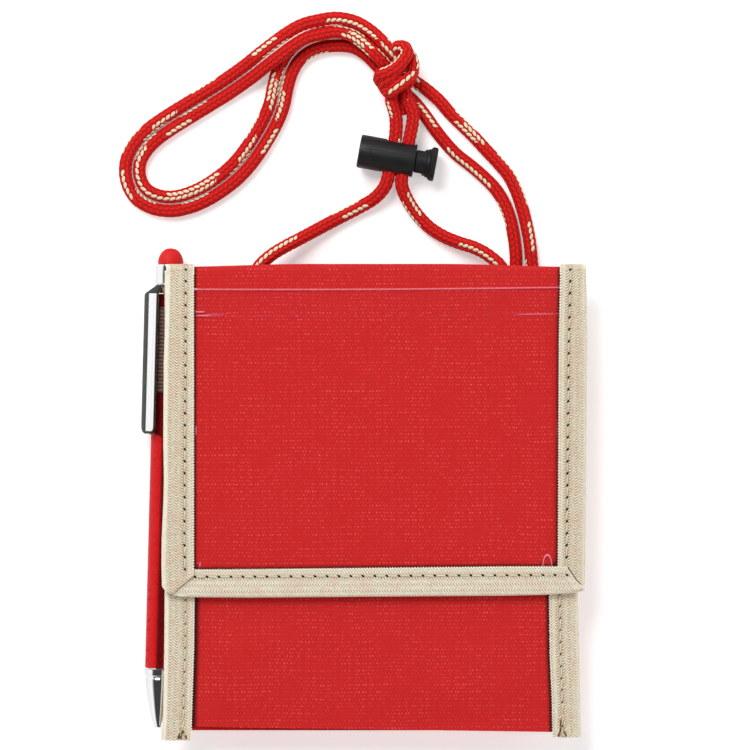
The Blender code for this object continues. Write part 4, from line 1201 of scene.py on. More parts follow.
def make_flap():
    """One cloth: up the flap, round the fold and down to the back."""
    x, y = grid(PANEL_LOW.x, PANEL_HIGH.x, PANEL_LOW.y, HINGE_Y)
    share = (y - PANEL_LOW.y) / (HINGE_Y - PANEL_LOW.y)
    y = y + flap_lift(x) * (1 - share)
    narrow = np.where(x > 0, x / PANEL_HIGH.x * (PANEL_HIGH.x - FOLD_HIGH.x) * ease(share, 0.9, 1), 0)
    x = within(x, y, PANEL_LOW.x, PANEL_HIGH.x, FLAP_LEFT_EDGES, FLAP_RIGHT_EDGES) - narrow
    top = PANEL_HIGH.z + flap_puff(x, y)
    outer = stack(x, y, top)
    inner = stack(x, y, top - CLOTH)
    turns = np.radians(np.linspace(15, 180, 12))[:, None]
    edge = x[-1][None, :]
    reach = FOLD_REACH - 0.0008 * ease(np.abs(edge), 0.02, 0.058)
    half = (FOLD_HIGH.z - FOLD_LOW.z) / 2
    bent = stack(edge, HINGE_Y + reach * np.sin(turns), HINGE_Z + half * np.cos(turns))
    bent_inner = stack(edge, HINGE_Y + (reach - CLOTH) * np.sin(turns), HINGE_Z + (half - CLOTH) * np.cos(turns))
    outer = np.concatenate([outer, bent])
    inner = np.concatenate([inner, bent_inner])
    length = np.concatenate([y, y[-1][None, :] + half * turns + edge * 0])
    flat = np.stack([outer[..., 0], length], axis=-1)
    bound = bound_map(outer[..., 0], length, FLAP_LEFT_EDGES, FLAP_RIGHT_EDGES)
    # painted shade also runs along the lower tape's upper edge
    bound[..., 0] = np.minimum(bound[..., 0], length - hem_line(1)(outer[..., 0]))
    return shell("flap_cloth", outer, inner, {"cloth": flat, "bound": bound})


def make_front():
    x, y = grid(FRONT_LOW.x, FRONT_HIGH.x, FRONT_LOW.y, FRONT_HIGH.y)
    share = (y - FRONT_LOW.y) / (FRONT_HIGH.y - FRONT_LOW.y)
    y = y + (0.00028 - 0.00083 * x / FRONT_HIGH.x) * (1 - share) ** 6
    x = within(x, y, FRONT_LOW.x, FRONT_HIGH.x, POUCH_LEFT_EDGES, POUCH_RIGHT_EDGES)
    low = ease(-y, 0.0290, 0.0420)
    puff = low * between(x, FRONT_LOW.x, FRONT_HIGH.x, 0.008, 0.020) * ease(y, FRONT_LOW.y, FRONT_LOW.y + 0.012)
    top = FRONT_HIGH.z + puff * (0.0006 + 0.0004 * ripple(x, y, 1.7))
    # painted shade beside the pouch tapes, reaching further on the left
    bound = bound_map(x, y, POUCH_LEFT_EDGES, POUCH_RIGHT_EDGES, 0.0007, 0.0003)
    maps = {"cloth": np.stack([x, y], axis=-1), "bound": bound}
    return shell("front_cloth", stack(x, y, top), stack(x, y, top - CLOTH), maps)


def rounded(left, right, bottom, top, radius, step):
    """Points round a rounded rectangle, with their outward directions."""
    points = []
    spots = [
        (right - radius, bottom + radius, -90), (right - radius, top - radius, 0),
        (left + radius, top - radius, 90), (left + radius, bottom + radius, 180),
    ]
    for index, (x, y, start) in enumerate(spots):
        for turn in range(7):
            angle = math.radians(start + 15 * turn)
            out = (math.cos(angle), math.sin(angle))
            points.append((x + radius * out[0], y + radius * out[1], *out))
        last = points[-1]
        after = spots[(index + 1) % 4]
        goal = (after[0] + radius * out[0], after[1] + radius * out[1])
        pieces = max(1, round(math.hypot(goal[0] - last[0], goal[1] - last[1]) / step))
        for part in range(1, pieces):
            share = part / pieces
            points.append((last[0] + (goal[0] - last[0]) * share, last[1] + (goal[1] - last[1]) * share, *out))
    return np.array(points)


def make_back():
    """The pouch's tray: bottom, rounded walls, flange and the shelf up to the fold."""
    outline = rounded(WALL_LEFT, WALL_RIGHT, WALL_BOTTOM, WALL_TOP, TRAY_CORNER, 0.004)
    wall, out = outline[:, :2], outline[:, 2:]
    centre = np.array(((WALL_LEFT + WALL_RIGHT) / 2, (WALL_BOTTOM + WALL_TOP) / 2))
    base = wall - out * TRAY_ROUND
    rings, maps = [], []

    def add_ring(spot, rise, flat):
        rings.append(stack(spot[:, 0], spot[:, 1], rise))
        maps.append(flat)

    for share in (0.04, 0.15, 0.3, 0.45, 0.6, 0.75, 0.88):
        spot = centre + (base - centre) * share
        add_ring(spot, 0.00028 * (1 + ripple(spot[:, 0], spot[:, 1], 3.1)) * (1 - share), spot)
    for degrees in (0, 15, 30, 45, 60, 75, 90):
        angle = math.radians(degrees)
        spot = base + out * TRAY_ROUND * math.sin(angle)
        add_ring(spot, TRAY_ROUND * (1 - math.cos(angle)), base + out * TRAY_ROUND * angle)
    top = BACK_HIGH.z - CLOTH
    wave = 0.00045 * ripple(wall[:, 0] * 1.8, wall[:, 1] * 1.8, 0.9) - 0.0002
    for share in (0.2, 0.4, 0.6, 0.8, 0.95, 1.0):
        rise = TRAY_ROUND + (top - TRAY_ROUND) * share
        spot = wall + out * (wave * math.sin(share * math.pi))[:, None]
        add_ring(spot, rise, wall + out * (TRAY_ROUND * (math.pi / 2 - 1) + rise))
    rim = np.clip(wall + out * 0.03, (FRONT_LOW.x, FRONT_LOW.y), (FRONT_HIGH.x, HINGE_Y))
    rim[:, 0] = within(rim[:, 0], rim[:, 1], FRONT_LOW.x, FRONT_HIGH.x, POUCH_LEFT_EDGES, POUCH_RIGHT_EDGES)
    for share in (0.35, 0.7, 1.0):
        spot = wall + (rim - wall) * share
        add_ring(spot, top, spot)
    rings = np.array(rings)
    maps = np.array(maps)
    rows, columns = rings.shape[:2]
    number = np.arange(rows * columns).reshape(rows, columns)
    after = np.roll(number, -1, axis=1)
    quads = np.stack([number[:-1], after[:-1], after[1:], number[1:]], axis=-1).reshape(-1, 4).tolist()
    quads.append(number[0][::-1].tolist())
    piece = mesh_piece("back_cloth", rings.reshape(-1, 3), quads, {"cloth": maps.reshape(-1, 2)})
    solid = piece.modifiers.new("cloth", "SOLIDIFY")
    solid.thickness = CLOTH
    solid.offset = -1
    apply_modifiers(piece)
    smooth(piece, 50)
    return piece


def edge_line(edges, index):
    """A tape's edge in metres across for each height along, from its pixel readings."""
    heights = [pixel_along(row[0]) for row in reversed(edges)]
    places = [pixel_across(row[1 + index]) for row in reversed(edges)]
    return lambda along: np.interp(along, heights, places)


def hem_line(index):
    """The lower tape's edge in metres along for each place across."""
    places = [pixel_across(row[0]) for row in HEM_EDGES]
    heights = [pixel_along(row[1 + index]) for row in HEM_EDGES]
    return lambda across: np.interp(across, places, heights)


def within(x, y, low, high, left_edges, right_edges):
    """Spread a cloth's places between the outer edges of the two tapes that bind it."""
    left = edge_line(left_edges, 0)(y) + EDGE + CLOTH
    right = edge_line(right_edges, 0)(y) - EDGE - CLOTH
    return left + (x - low) / (high - low) * (right - left)


def hem_end_height(x):
    """The height at which the lower tape's right end crosses a place across."""
    heights, places = zip(*HEM_END)
    return np.interp(x, [pixel_across(place) for place in places], [pixel_along(height) for height in heights])


def bound_map(x, y, left_edges, right_edges, left_shade_reach=0.0, right_shade_reach=0.0):
    """Distance from the binding tapes' inner edges, where the nylon finish paints shade beside the tapes; the reaches
    widen that painted shade. The 1 tells the finish that the map is there.
    """
    left = x - edge_line(left_edges, 1)(y) - left_shade_reach
    distance = np.minimum(left, edge_line(right_edges, 1)(y) - x - right_shade_reach)
    return np.stack([distance, np.ones_like(x)], axis=-1)


def tape_section(width, depth, rear):
    """Across and depth of a folded tape: its outer side, then its inner side, front edge first."""
    radius = depth / 2
    outer = [(width - (width - radius) * share, 0.0) for share in np.linspace(0, 1, 13)[:-1]]
    inner = [(across, TAPE) for across, _ in outer]
    for degrees in range(0, 181, 20):
        angle = math.radians(degrees)
        outer.append((radius - radius * math.sin(angle), radius - radius * math.cos(angle)))
        small = radius - TAPE
        inner.append((radius - small * math.sin(angle), radius - small * math.cos(angle)))
    for share in np.linspace(0, 1, 7)[1:]:
        across = radius + (rear - radius) * share
        outer.append((across, depth))
        inner.append((across, depth - TAPE))
    return np.array(outer), np.array(inner)


def section_run(outer):
    """Length along the tape's section from its front edge."""
    steps = np.hypot(*np.diff(outer, axis=0).T)
    return np.concatenate([[0], np.cumsum(steps)])


def stretched(across, depth, width, span, front):
    """A tape's front leg, made to one width, spread over the span between its two edge lines."""
    radius = depth / 2
    spread = (across - radius) / (width - radius) * (span - radius) + radius
    return np.where(front & (across > radius), spread, across)


def teeth(along, across, width, front):
    """The small waves of a tape's woven edge."""
    return TOOTH * np.sin(along * math.tau / TAPE_RIB) * ease(across, width - TOOTH_REACH, width) * front


def sunk(x, y, along, across, down, width, away, turn):
    """How far a tape's face lies below flat: pulled in by the stitches, waved, and curled up at its edge."""
    beat = np.cos(along * math.tau / settings("wallet_cloth").stitch)
    pinch = np.exp(-(away / SEAM_REACH) ** 2) * (SEAM_DEPTH + SEAM_BEAT * beat)
    wave = TAPE_WAVE * ripple(x * 2, y * 2.4, turn)
    curl = CURL * ease(across, width - CURL_REACH, width)
    return np.where(down < 1e-6, pinch - wave - curl, 0)


def make_side_tape(name, edges, side, bottom, top, low_z, high_z, phase, mitre=None):
    """A folded tape up one side. A flap's tape is mitred below and runs on round the fold."""
    outer_x, inner_x, seam_x = (edge_line(edges, index) for index in range(3))
    depth = high_z - low_z
    section_outer, section_inner = tape_section(TAPE_WIDTH, depth, FLAP_REAR_TAPE if mitre else POUCH_REAR_TAPE)
    run = section_run(section_outer)
    straight = np.arange(0, top - bottom, TAPE_STEP)
    straight = straight / straight[-1]
    grids = []
    for section in (section_outer, section_inner):
        across, down = section[:, 0][None, :], section[:, 1][None, :]
        start = bottom + 0 * across
        if mitre:
            foot = outer_x(bottom) - side * across * np.abs(inner_x(bottom) - outer_x(bottom)) / TAPE_WIDTH
            cuts = [(pixel_across(x), pixel_along(y)) for x, y in mitre]
            start = np.interp(foot, *zip(*cuts))
        y = start + (top - start) * straight[:, None]
        width = np.abs(inner_x(y) - outer_x(y))
        front = down <= TAPE
        stretch = stretched(across, depth, TAPE_WIDTH, width, front)
        x = outer_x(y) - side * (stretch + teeth(y, across, TAPE_WIDTH, front))
        seam = np.abs(seam_x(y) - outer_x(y))
        sink = sunk(x, y, y + phase, across, down, TAPE_WIDTH, stretch - seam, side)
        if mitre:
            sink = sink + np.where(front, side * 0.00026 * ease(start - y, -0.0045, -0.0005), 0)
        z = high_z - down - sink
        if section is section_outer:
            gap = np.ones_like(y)
            if mitre:
                gap = np.where(front & (side > 0) & (x > pixel_across(566.0)), y - hem_end_height(x), gap)
        grids.append((stack(x, y, z), y, stretch, seam))
    (outer, along, stretch, seam), (inner, *_) = grids
    if mitre:
        outer, inner, along = carry_over(outer, inner, along, side, section_outer, top)
        more = ((0, len(outer) - len(stretch)), (0, 0))
        stretch, seam = (np.pad(values, more, mode="edge") for values in (stretch, seam))
        gap = np.pad(gap, more, constant_values=1)
        gap = np.where((gap >= 1) & (along < pixel_along(576.0)), 3, gap)
    run = np.broadcast_to(run[None, :], stretch.shape)
    signed = np.where(run < TAPE_WIDTH - depth / 2, stretch, TAPE_WIDTH - run) - seam
    maps = {
        "cloth": np.stack([-signed, along + phase], axis=-1),
        "edge": np.stack([run / TAPE_WIDTH, np.minimum(run, run[:, -1:] - run)], axis=-1),
        # end map: distance to the cut, for the painted shade in its gap, then the strength of the painted highlight
        # along the fold, stronger on the left tape
        "end": np.stack([gap * 0.66, np.full_like(gap, 0.9 if side < 0 else 0.5)], axis=-1),
    }
    return shell(name, outer, inner, maps, 60)


def carry_over(outer, inner, along, side, section, top):
    """Carry a tape's front leg on round the fold, closing its rear leg on the way."""
    last_outer, last_inner = outer[-1], inner[-1]
    edge = last_outer[:, 0]
    flat_x = np.where(section[:, 1] < 1e-6, edge, edge.max() if side > 0 else edge.min())
    rows_outer, rows_inner, rows_along = [], [], []
    tall = FLAP_HIGH.z - HINGE_Z
    turns = [(0.0, share) for share in (0.25, 0.5, 0.75, 1.0)]
    turns += [(math.radians(degrees), 1.0) for degrees in range(10, 181, 10)]
    turns += [(math.pi, 1.0 + share) for share in (0.3, 0.6, 1.0)]
    length = along[-1].max()
    for angle, closing in turns:
        closed = min(closing, 1.0)
        back = max(0.0, closing - 1.0) * TAIL
        lift = 0.0 if angle else closing * (HINGE_Y - top)
        for last, rows, inward in ((last_outer, rows_outer, 0.0), (last_inner, rows_inner, TAPE)):
            x = last[:, 0] * (1 - closed) + flat_x * closed
            down = (FLAP_HIGH.z - last[:, 2]) * (1 - closed) + inward * closed
            down = np.where(section[:, 1] < 1e-6, inward, down)
            if angle:
                y = HINGE_Y + (FOLD_WIDE - down) * math.sin(angle) - back
                z = HINGE_Z + (tall - down) * math.cos(angle)
            else:
                y = np.full(len(x), top + lift)
                z = FLAP_HIGH.z - down
            rows.append(stack(x, y, z))
        if angle:
            rows_along.append(np.full(len(edge), length + (HINGE_Y - top) + FOLD_RUN * angle + back))
        else:
            rows_along.append(np.full(len(edge), length + lift))
    grids = ((outer, rows_outer), (inner, rows_inner), (along, rows_along))
    return [np.concatenate(pair) for pair in grids]


def make_hem_tape():
    """The folded tape along the flap's lower edge, cut to a mitre at both ends."""
    depth = FLAP_HIGH.z - FLAP_LOW.z
    section_outer, section_inner = tape_section(HEM_WIDTH, depth, FLAP_REAR_TAPE)
    run = section_run(section_outer)
    share = np.arange(0, FLAP_HIGH.x - FLAP_LOW.x, TAPE_STEP)
    share = share / share[-1]
    low_line, top_line, seam_line = (hem_line(index) for index in range(3))
    ends = []
    for cuts in (HEM_START, HEM_END):
        heights = [pixel_along(y) for y, x in reversed(cuts)]
        places = [pixel_across(x) for y, x in reversed(cuts)]
        middle = sum(places) / len(places)
        rise = float(top_line(middle) - low_line(middle)) / HEM_WIDTH
        ends.append((heights, places, float(low_line(middle)), rise))
    grids = []
    for section in (section_outer, section_inner):
        across, down = section[:, 0][None, :], section[:, 1][None, :]
        start, end = (np.interp(low + across * rise, heights, places) for heights, places, low, rise in ends)
        x = start + (end - start) * share[:, None]
        low = low_line(x)
        front = down <= TAPE
        stretch = stretched(across, depth, HEM_WIDTH, top_line(x) - low, front)
        y = low + stretch + teeth(x, across, HEM_WIDTH, front)
        seam = seam_line(x) - low
        lap = 0.00042 * (ease(x - end, -0.0075, -0.0010) - ease(start - x, -0.0075, -0.0030))
        sink = sunk(x, y, x, across, down, HEM_WIDTH, stretch - seam, 5.0)
        z = FLAP_HIGH.z - down - sink + np.where(front, lap, 0)
        grids.append((stack(x, y, z), stretch, seam, np.where(front & (stretch > 0.0010), x - start, 1), end - x))
    (outer, stretch, seam, gap, left_over), (inner, *_) = grids
    run = np.broadcast_to(run[None, :], outer.shape[:2])
    signed = np.where(run < HEM_WIDTH - depth / 2, stretch, HEM_WIDTH - run) - seam
    rim = np.minimum(run, run[:, -1:] - run)
    maps = {
        "cloth": np.stack([-signed, outer[..., 0]], axis=-1),
        "edge": np.stack([run / HEM_WIDTH, np.minimum(rim, left_over * 0.8)], axis=-1),
        # end map: distance to the cut, for the painted shade in its gap, then a weak painted highlight along the fold
        "end": np.stack([gap * 0.66, np.full_like(gap, 0.3)], axis=-1),
    }
    return shell("hem_tape", outer, inner, maps, 60)


def make_window():
    """The clear sheet, with a second layer where its open top is turned over."""
    left, right = GLASS_LOW.x, GLASS_HIGH.x
    bottom, top = GLASS_LOW.y, GLASS_HIGH.y
    sheets = []
    layers = (("window_sheet", bottom, top, 0.0), ("window_hem", top - WINDOW_HEM, top - 0.0002, VINYL * 1.2))
    for name, low, high, rise in layers:
        x, y = grid(left, right, low, high, 0.0012)
        sag = 0.0003 * np.sin((x - left) / (right - left) * math.pi) * (y - bottom) / (top - bottom)
        share = (y - bottom) / (top - bottom)
        lift = (0.0001 + 0.0006 * (x - left) / (right - left)) * share
        y = y - sag + lift + flap_lift(x) * (1 - share)
        inside = between(x, left, right, 0.0045, 0.006)
        base = GLASS_LOW.z + VINYL + rise * inside + flap_puff(x, y)
        crease = 0.00005 * ripple(x * 6, y * 2, 4.0)
        outer = stack(x, y, base + crease)
        inner = stack(x, y, base + crease - VINYL)
        drop = top - y - sag + lift
        sheets.append(shell(name, outer, inner, {"cloth": np.stack([x, drop], axis=-1)}, 60))
    return join("window_sheet", sheets)


def sewn(name, seams, share=0.80, slant=0.5):
    """Rows of lockstitches: each seam is a list of needle places and the direction out of the cloth."""
    look = settings("wallet_cloth")
    radius = look.thread / 2
    levels = np.array((-1.0, -0.92, -0.6, 0.0, 0.6, 0.92, 1.0))
    girth = np.array((0.25, 0.7, 1.0, 1.05, 1.0, 0.7, 0.25)) * radius
    turns = np.arange(7) / 7 * math.tau
    places, faces = [], []
    first = 0
    for needles, up in seams:
        up = np.array(up, dtype=float)
        for index, (one, two) in enumerate(zip(needles, needles[1:])):
            one, two = np.array(one), np.array(two)
            along = (two - one) / 2 * share
            side = np.cross(along / np.linalg.norm(along), up)
            lean = side * radius * (slant + 0.4 * math.sin(index * 2.4))
            middle = (one + two) / 2 + side * radius * 0.35 * math.sin(index * 1.7)
            rise = up[None, :] * (radius * (0.9 - 1.5 * levels ** 2))[:, None]
            spine = middle + levels[:, None] * (along + lean) + rise
            around = np.cos(turns)[:, None] * up + np.sin(turns)[:, None] * side
            rings = spine[:, None, :] + girth[:, None, None] * around[None, :, :]
            places.append(rings.reshape(-1, 3))
            number = first + np.arange(len(levels) * len(turns)).reshape(len(levels), len(turns))
            after = np.roll(number, -1, axis=1)
            quads = np.stack([number[:-1], after[:-1], after[1:], number[1:]], axis=-1).reshape(-1, 4)
            faces.extend(quads.tolist())
            faces.append(number[0][::-1].tolist())
            faces.append(number[-1].tolist())
            first += number.size
    piece = mesh_piece(name, np.concatenate(places), faces)
    face_outwards(piece)
    smooth(piece, 60)
    return piece


def needle_heights(low, high, phase=0.0):
    """Where the needle went in along a seam, in step with the holes that the tape shows."""
    pitch = settings("wallet_cloth").stitch
    first = math.ceil((low + phase) / pitch)
    last = math.floor((high + phase) / pitch)
    return [number * pitch - phase for number in range(first, last + 1)]


def hole_phase(y):
    """The phase at which a needle hole falls on a row of the photograph."""
    return -pixel_along(y) % settings("wallet_cloth").stitch


def side_seam(edges, low, high, z, phase=0.0, inset=0.0):
    line = edge_line(edges, 2)
    return [(float(line(y)) + inset, y, z) for y in needle_heights(low, high, phase)]


class WALLET_OT_pouch(bpy.types.Operator):
    """Make the pouch: back tray, front panel and the two side tapes with their seams."""
    bl_idname = "wallet.pouch"
    bl_label = "Pouch"

    def execute(self, context):
        look = settings("wallet_cloth")
        nylon = nylon_finish()
        back = dress(make_back(), nylon, "wallet", ["back_panel"])
        front = dress(make_front(), nylon, "wallet", ["front_panel"])
        tape = tape_finish("pouch_twill", 0.00027, 0.00044, 0.08, 0.16)
        low, high, top = POUCH_LOW.z, POUCH_HIGH.z, BACK_HIGH.y
        sides = (
            ("left", POUCH_LEFT_EDGES, -1, POUCH_LOW.y, hole_phase(659.5), -0.0006),
            ("right", POUCH_RIGHT_EDGES, 1, POUCH_LOW.y + 0.0009, hole_phase(594.0), 0),
        )
        tapes, seams = [], []
        for word, edges, side, bottom, phase, inset in sides:
            piece = make_side_tape("pouch_binding_" + word, edges, side, bottom, top, low, high, phase)
            tapes.append(dress(piece, tape, "wallet", ["pouch_tape_" + word]))
            seams.append((side_seam(edges, bottom, top, high, phase), (0, 0, 1)))
            seams.append((side_seam(edges, bottom, top, low, phase, inset), (0, 0, -1)))
        for tack in POUCH_TACKS:
            seams.append(([at_pixel(x, y, high) for x, y in tack], (0, 0, 1)))
        stitches = sewn("pouch_stitches", seams, 0.92, 0.9)
        dress(stitches, thread_finish("twisted_thread", look.thread_colour), "wallet")
        # painted shadow between the tacks' strands, drawn as dark thread laid over them
        rise = high + look.thread * 0.3
        tack_shadows = sewn("tack_shadow_strands", [([at_pixel(x, y, rise) for x, y in gap], (0, 0, 1)) for gap in TACK_SHADOWS], 0.96, 0.2)
        dress(tack_shadows, thread_finish("tack_shadow_thread", look.tack_shadow_colour), "wallet")
        return {"FINISHED"}


class WALLET_OT_flap(bpy.types.Operator):
    """Make the flap with its fold, tapes and seams, the clear window and the fastener's strips."""
    bl_idname = "wallet.flap"
    bl_label = "Flap and window"

    def execute(self, context):
        cloth = make_flap()
        dress(cloth, bpy.data.materials["nylon_weave"], None, ["flap_panel", "flap_fold"])
        tape = tape_finish("flap_twill", 0.00034, 0.00050, 0.01, 0.07)
        phase = hole_phase(389.3)
        low, high = FLAP_LOW.z, FLAP_HIGH.z
        top = HINGE_Y - 0.0004
        sides = (
            ("left", FLAP_LEFT_EDGES, -1, LEFT_MITRE, 574.5),
            ("right", FLAP_RIGHT_EDGES, 1, RIGHT_MITRE, 567.0),
        )
        tapes, seams = [], []
        for word, edges, side, mitre, last in sides:
            piece = make_side_tape(
                "flap_binding_" + word, edges, side, FLAP_LOW.y, HINGE_Y - 0.0014, low, high, phase, mitre)
            tapes.append(dress(piece, tape, None, ["flap_tape_" + word]))
            foot = pixel_along(last) - 0.0002
            seams.append((side_seam(edges, foot, top, high, phase), (0, 0, 1)))
            seams.append((side_seam(edges, foot, top - 0.002, low, phase), (0, 0, -1)))
        pale = tape_finish("hem_twill", 0.00034, 0.00050, 0.01, 0.42)
        hem = dress(make_hem_tape(), pale, "flap", ["flap_tape_bottom"])
        seam = hem_line(2)
        xs = needle_heights(pixel_across(195.0), pixel_across(566.5))
        for z, up in ((high, 1), (low, -1)):
            seams.append(([(x, float(seam(x)), z) for x in xs], (0, 0, up)))
        stitches = dress(sewn("flap_stitches", seams), bpy.data.materials["twisted_thread"], "flap")
        window = dress(make_window(), vinyl_finish(), "flap", ["clear_window"])
        for piece in (cloth, *tapes):
            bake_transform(piece)
        self.make_strips()
        return {"FINISHED"}

    def make_strips(self):
        """The fastener's two strips between the front panel and the flap."""
        # the last number of each is how strongly the painted highlight lightens the knots
        for node, body, pitch, light in (("loop_strip", "wallet", 0.0009, 1.5), ("hook_strip", "flap", 0.0012, 1.2)):
            low, high = corners(node)
            x, y = grid(low.x, high.x, low.y, high.y, 0.0008)
            rough = 0.00004 * np.sin(x * math.tau / 0.0016) * np.sin(y * math.tau / 0.0016)
            rim = ease(np.minimum(np.minimum(x - low.x, high.x - x), np.minimum(y - low.y, high.y - y)), 0, 0.0012)
            drop = 0.00012 * (1 - rim) + 0.00005 - rough * rim
            maps = {"cloth": np.stack([x, y], axis=-1)}
            top, bottom = (high.z - drop, low.z + 0 * x) if body == "wallet" else (high.z + 0 * x, low.z + drop)
            piece = shell("fastener_" + node, stack(x, y, top), stack(x, y, bottom), maps)
            dress(piece, fastener_finish(node + "_pile", pitch, light), body, [node])


class WALLET_OT_loops(bpy.types.Operator):
    """Make the two cord tabs and the pen's elastic loop."""
    bl_idname = "wallet.loops"
    bl_label = "Tabs and pen loop"

    def execute(self, context):
        nylon = bpy.data.materials["nylon_weave"]
        for node in ("cord_tab_left", "cord_tab_right"):
            low, high = corners(node)
            tab = block("sewn_" + node, low, high, 0.0012, 4)
            edit()
            bpy.ops.uv.cube_project(cube_size=1.0, correct_aspect=False)
            leave_edit()
            tab.data.uv_layers.active.name = "cloth"
            smooth(tab, 60)
            rows = []
            for y in (low.y + 0.0016, high.y - 0.0018):
                needles = [(low.x + 0.0012 + 0.0028 * step, y, low.z) for step in range(3)]
                rows.append((needles, (0, 0, -1)))
            seam = sewn("seam_" + node, rows)
            dress(seam, bpy.data.materials["twisted_thread"], "wallet")
            dress(tab, nylon, "wallet", [node])
        loop = self.make_loop()
        dress(loop, elastic_finish(), "wallet", ["pen_loop"])
        return {"FINISHED"}

    def make_loop(self):
        """A band that comes out of the seam, and runs round the pen and back."""
        inner = PEN_RADIUS + GAP
        matrix = np.array(pen_matrix())
        middle = pen_matrix() @ Vector((0, 0, LOOP_RISE))
        tail = WALL_LEFT - GAP - middle.x - LOOP_WIDTH / 2 * math.sin(math.radians(PEN_LEAN))
        path = [(tail * (1 - share), None) for share in np.linspace(0, 1, 5)[:-1]]
        path += [(0.0, math.radians(degrees)) for degrees in range(90, 427, 8)]
        runs = [tail - x if angle is None else tail + (angle - math.pi / 2) * inner for x, angle in path]
        levels = np.linspace(-LOOP_WIDTH / 2, LOOP_WIDTH / 2, 24)
        grids = []
        for reach in (inner + TAPE, inner):
            bulge = 0.00008 * np.sin(levels * math.tau / 0.0025) * (reach > inner)
            rows = []
            for x, angle in path:
                if angle is None:
                    spot = stack(x, -reach, LOOP_RISE + levels)
                else:
                    away = reach + bulge
                    spot = stack(away * math.cos(angle), -away * math.sin(angle), LOOP_RISE + levels)
                rows.append(spot @ matrix[:3, :3].T + matrix[:3, 3])
            grids.append(np.array(rows))
        cloth = np.stack(np.broadcast_arrays(levels, np.array(runs)[:, None]), axis=-1)
        return shell("elastic_loop", *grids, {"cloth": cloth})


# Pen, up its own Z from the point of the nose cone

PEN_LENGTH = 0.1398
PEN_REACH = 0.0008
PEN_RADIUS = 0.0045
PEN_LEAN = 1.46
PEN_DROP = 0.0652
PEN_INSET = 0.00043
PEN_AXIS_Z = 0.0053
NOSE_LENGTH = 0.0173
GROOVE_RISE = 0.0146
COLLAR_TOP = PEN_LENGTH - 0.0047
COLLAR_RISE = COLLAR_TOP - 0.0085
COLLAR_RADIUS = 0.00436
CLIP_TOP = COLLAR_RISE + 0.0026
CLIP_END = CLIP_TOP - 0.0440
CLIP_WIDTH = 0.0063
CLIP_INNER = 0.0062
CLIP_TURN = 52.0
CLIP_CREASE = -0.0005
GRIP_RISE = 0.01928
GRIP_TURN = 33.0
GRIP_PAIR = 0.0088
GRIP_PITCH = 0.00265
GRIP_DOT = 0.00040
LOOP_RISE = COLLAR_RISE - 0.0166
LOOP_WIDTH = 0.025

# The nose cone below its groove: shares of its height, and of its width beyond the hole
NOSE_SHAPE = (
    (0.9, 0.93), (0.8, 0.87), (0.66, 0.775), (0.55, 0.68), (0.42, 0.56), (0.3, 0.44), (0.2, 0.33), (0.12, 0.22),
    (0.05, 0.11), (0.02, 0.06), (0.0, -0.08),
)


def pen_matrix():
    lean = Matrix.Rotation(-math.radians(PEN_LEAN), 4, "Z") @ Matrix.Rotation(-math.pi / 2, 4, "X")
    middle = Vector((POUCH_LOW.x + PEN_INSET, FOLD_TOP - PEN_DROP, PEN_AXIS_Z))
    return Matrix.Translation(middle) @ lean @ Matrix.Translation((0, 0, -PEN_LENGTH / 2))


def drawn(name, stations):
    """A flat bar: each station is its offset, rise, width and thickness, extruded from the one before."""
    offset, rise, width, thick = stations[0]
    deselect()
    bpy.ops.mesh.primitive_plane_add(size=1, location=(0, 0, 0))
    piece = bpy.context.view_layer.objects.active
    piece.name = name
    edit()
    bpy.ops.transform.resize(value=(width, thick, 1))
    bpy.ops.transform.translate(value=(0, -offset, rise))
    for (away, low, wide, deep), (away_next, high, wide_next, deep_next) in zip(stations, stations[1:]):
        bpy.ops.mesh.extrude_region_move(TRANSFORM_OT_translate={"value": (0, away - away_next, high - low)})
        bpy.ops.transform.resize(
            value=(wide_next / wide, deep_next / deep, 1), center_override=(0, -away_next, high))
    close_up()
    return piece


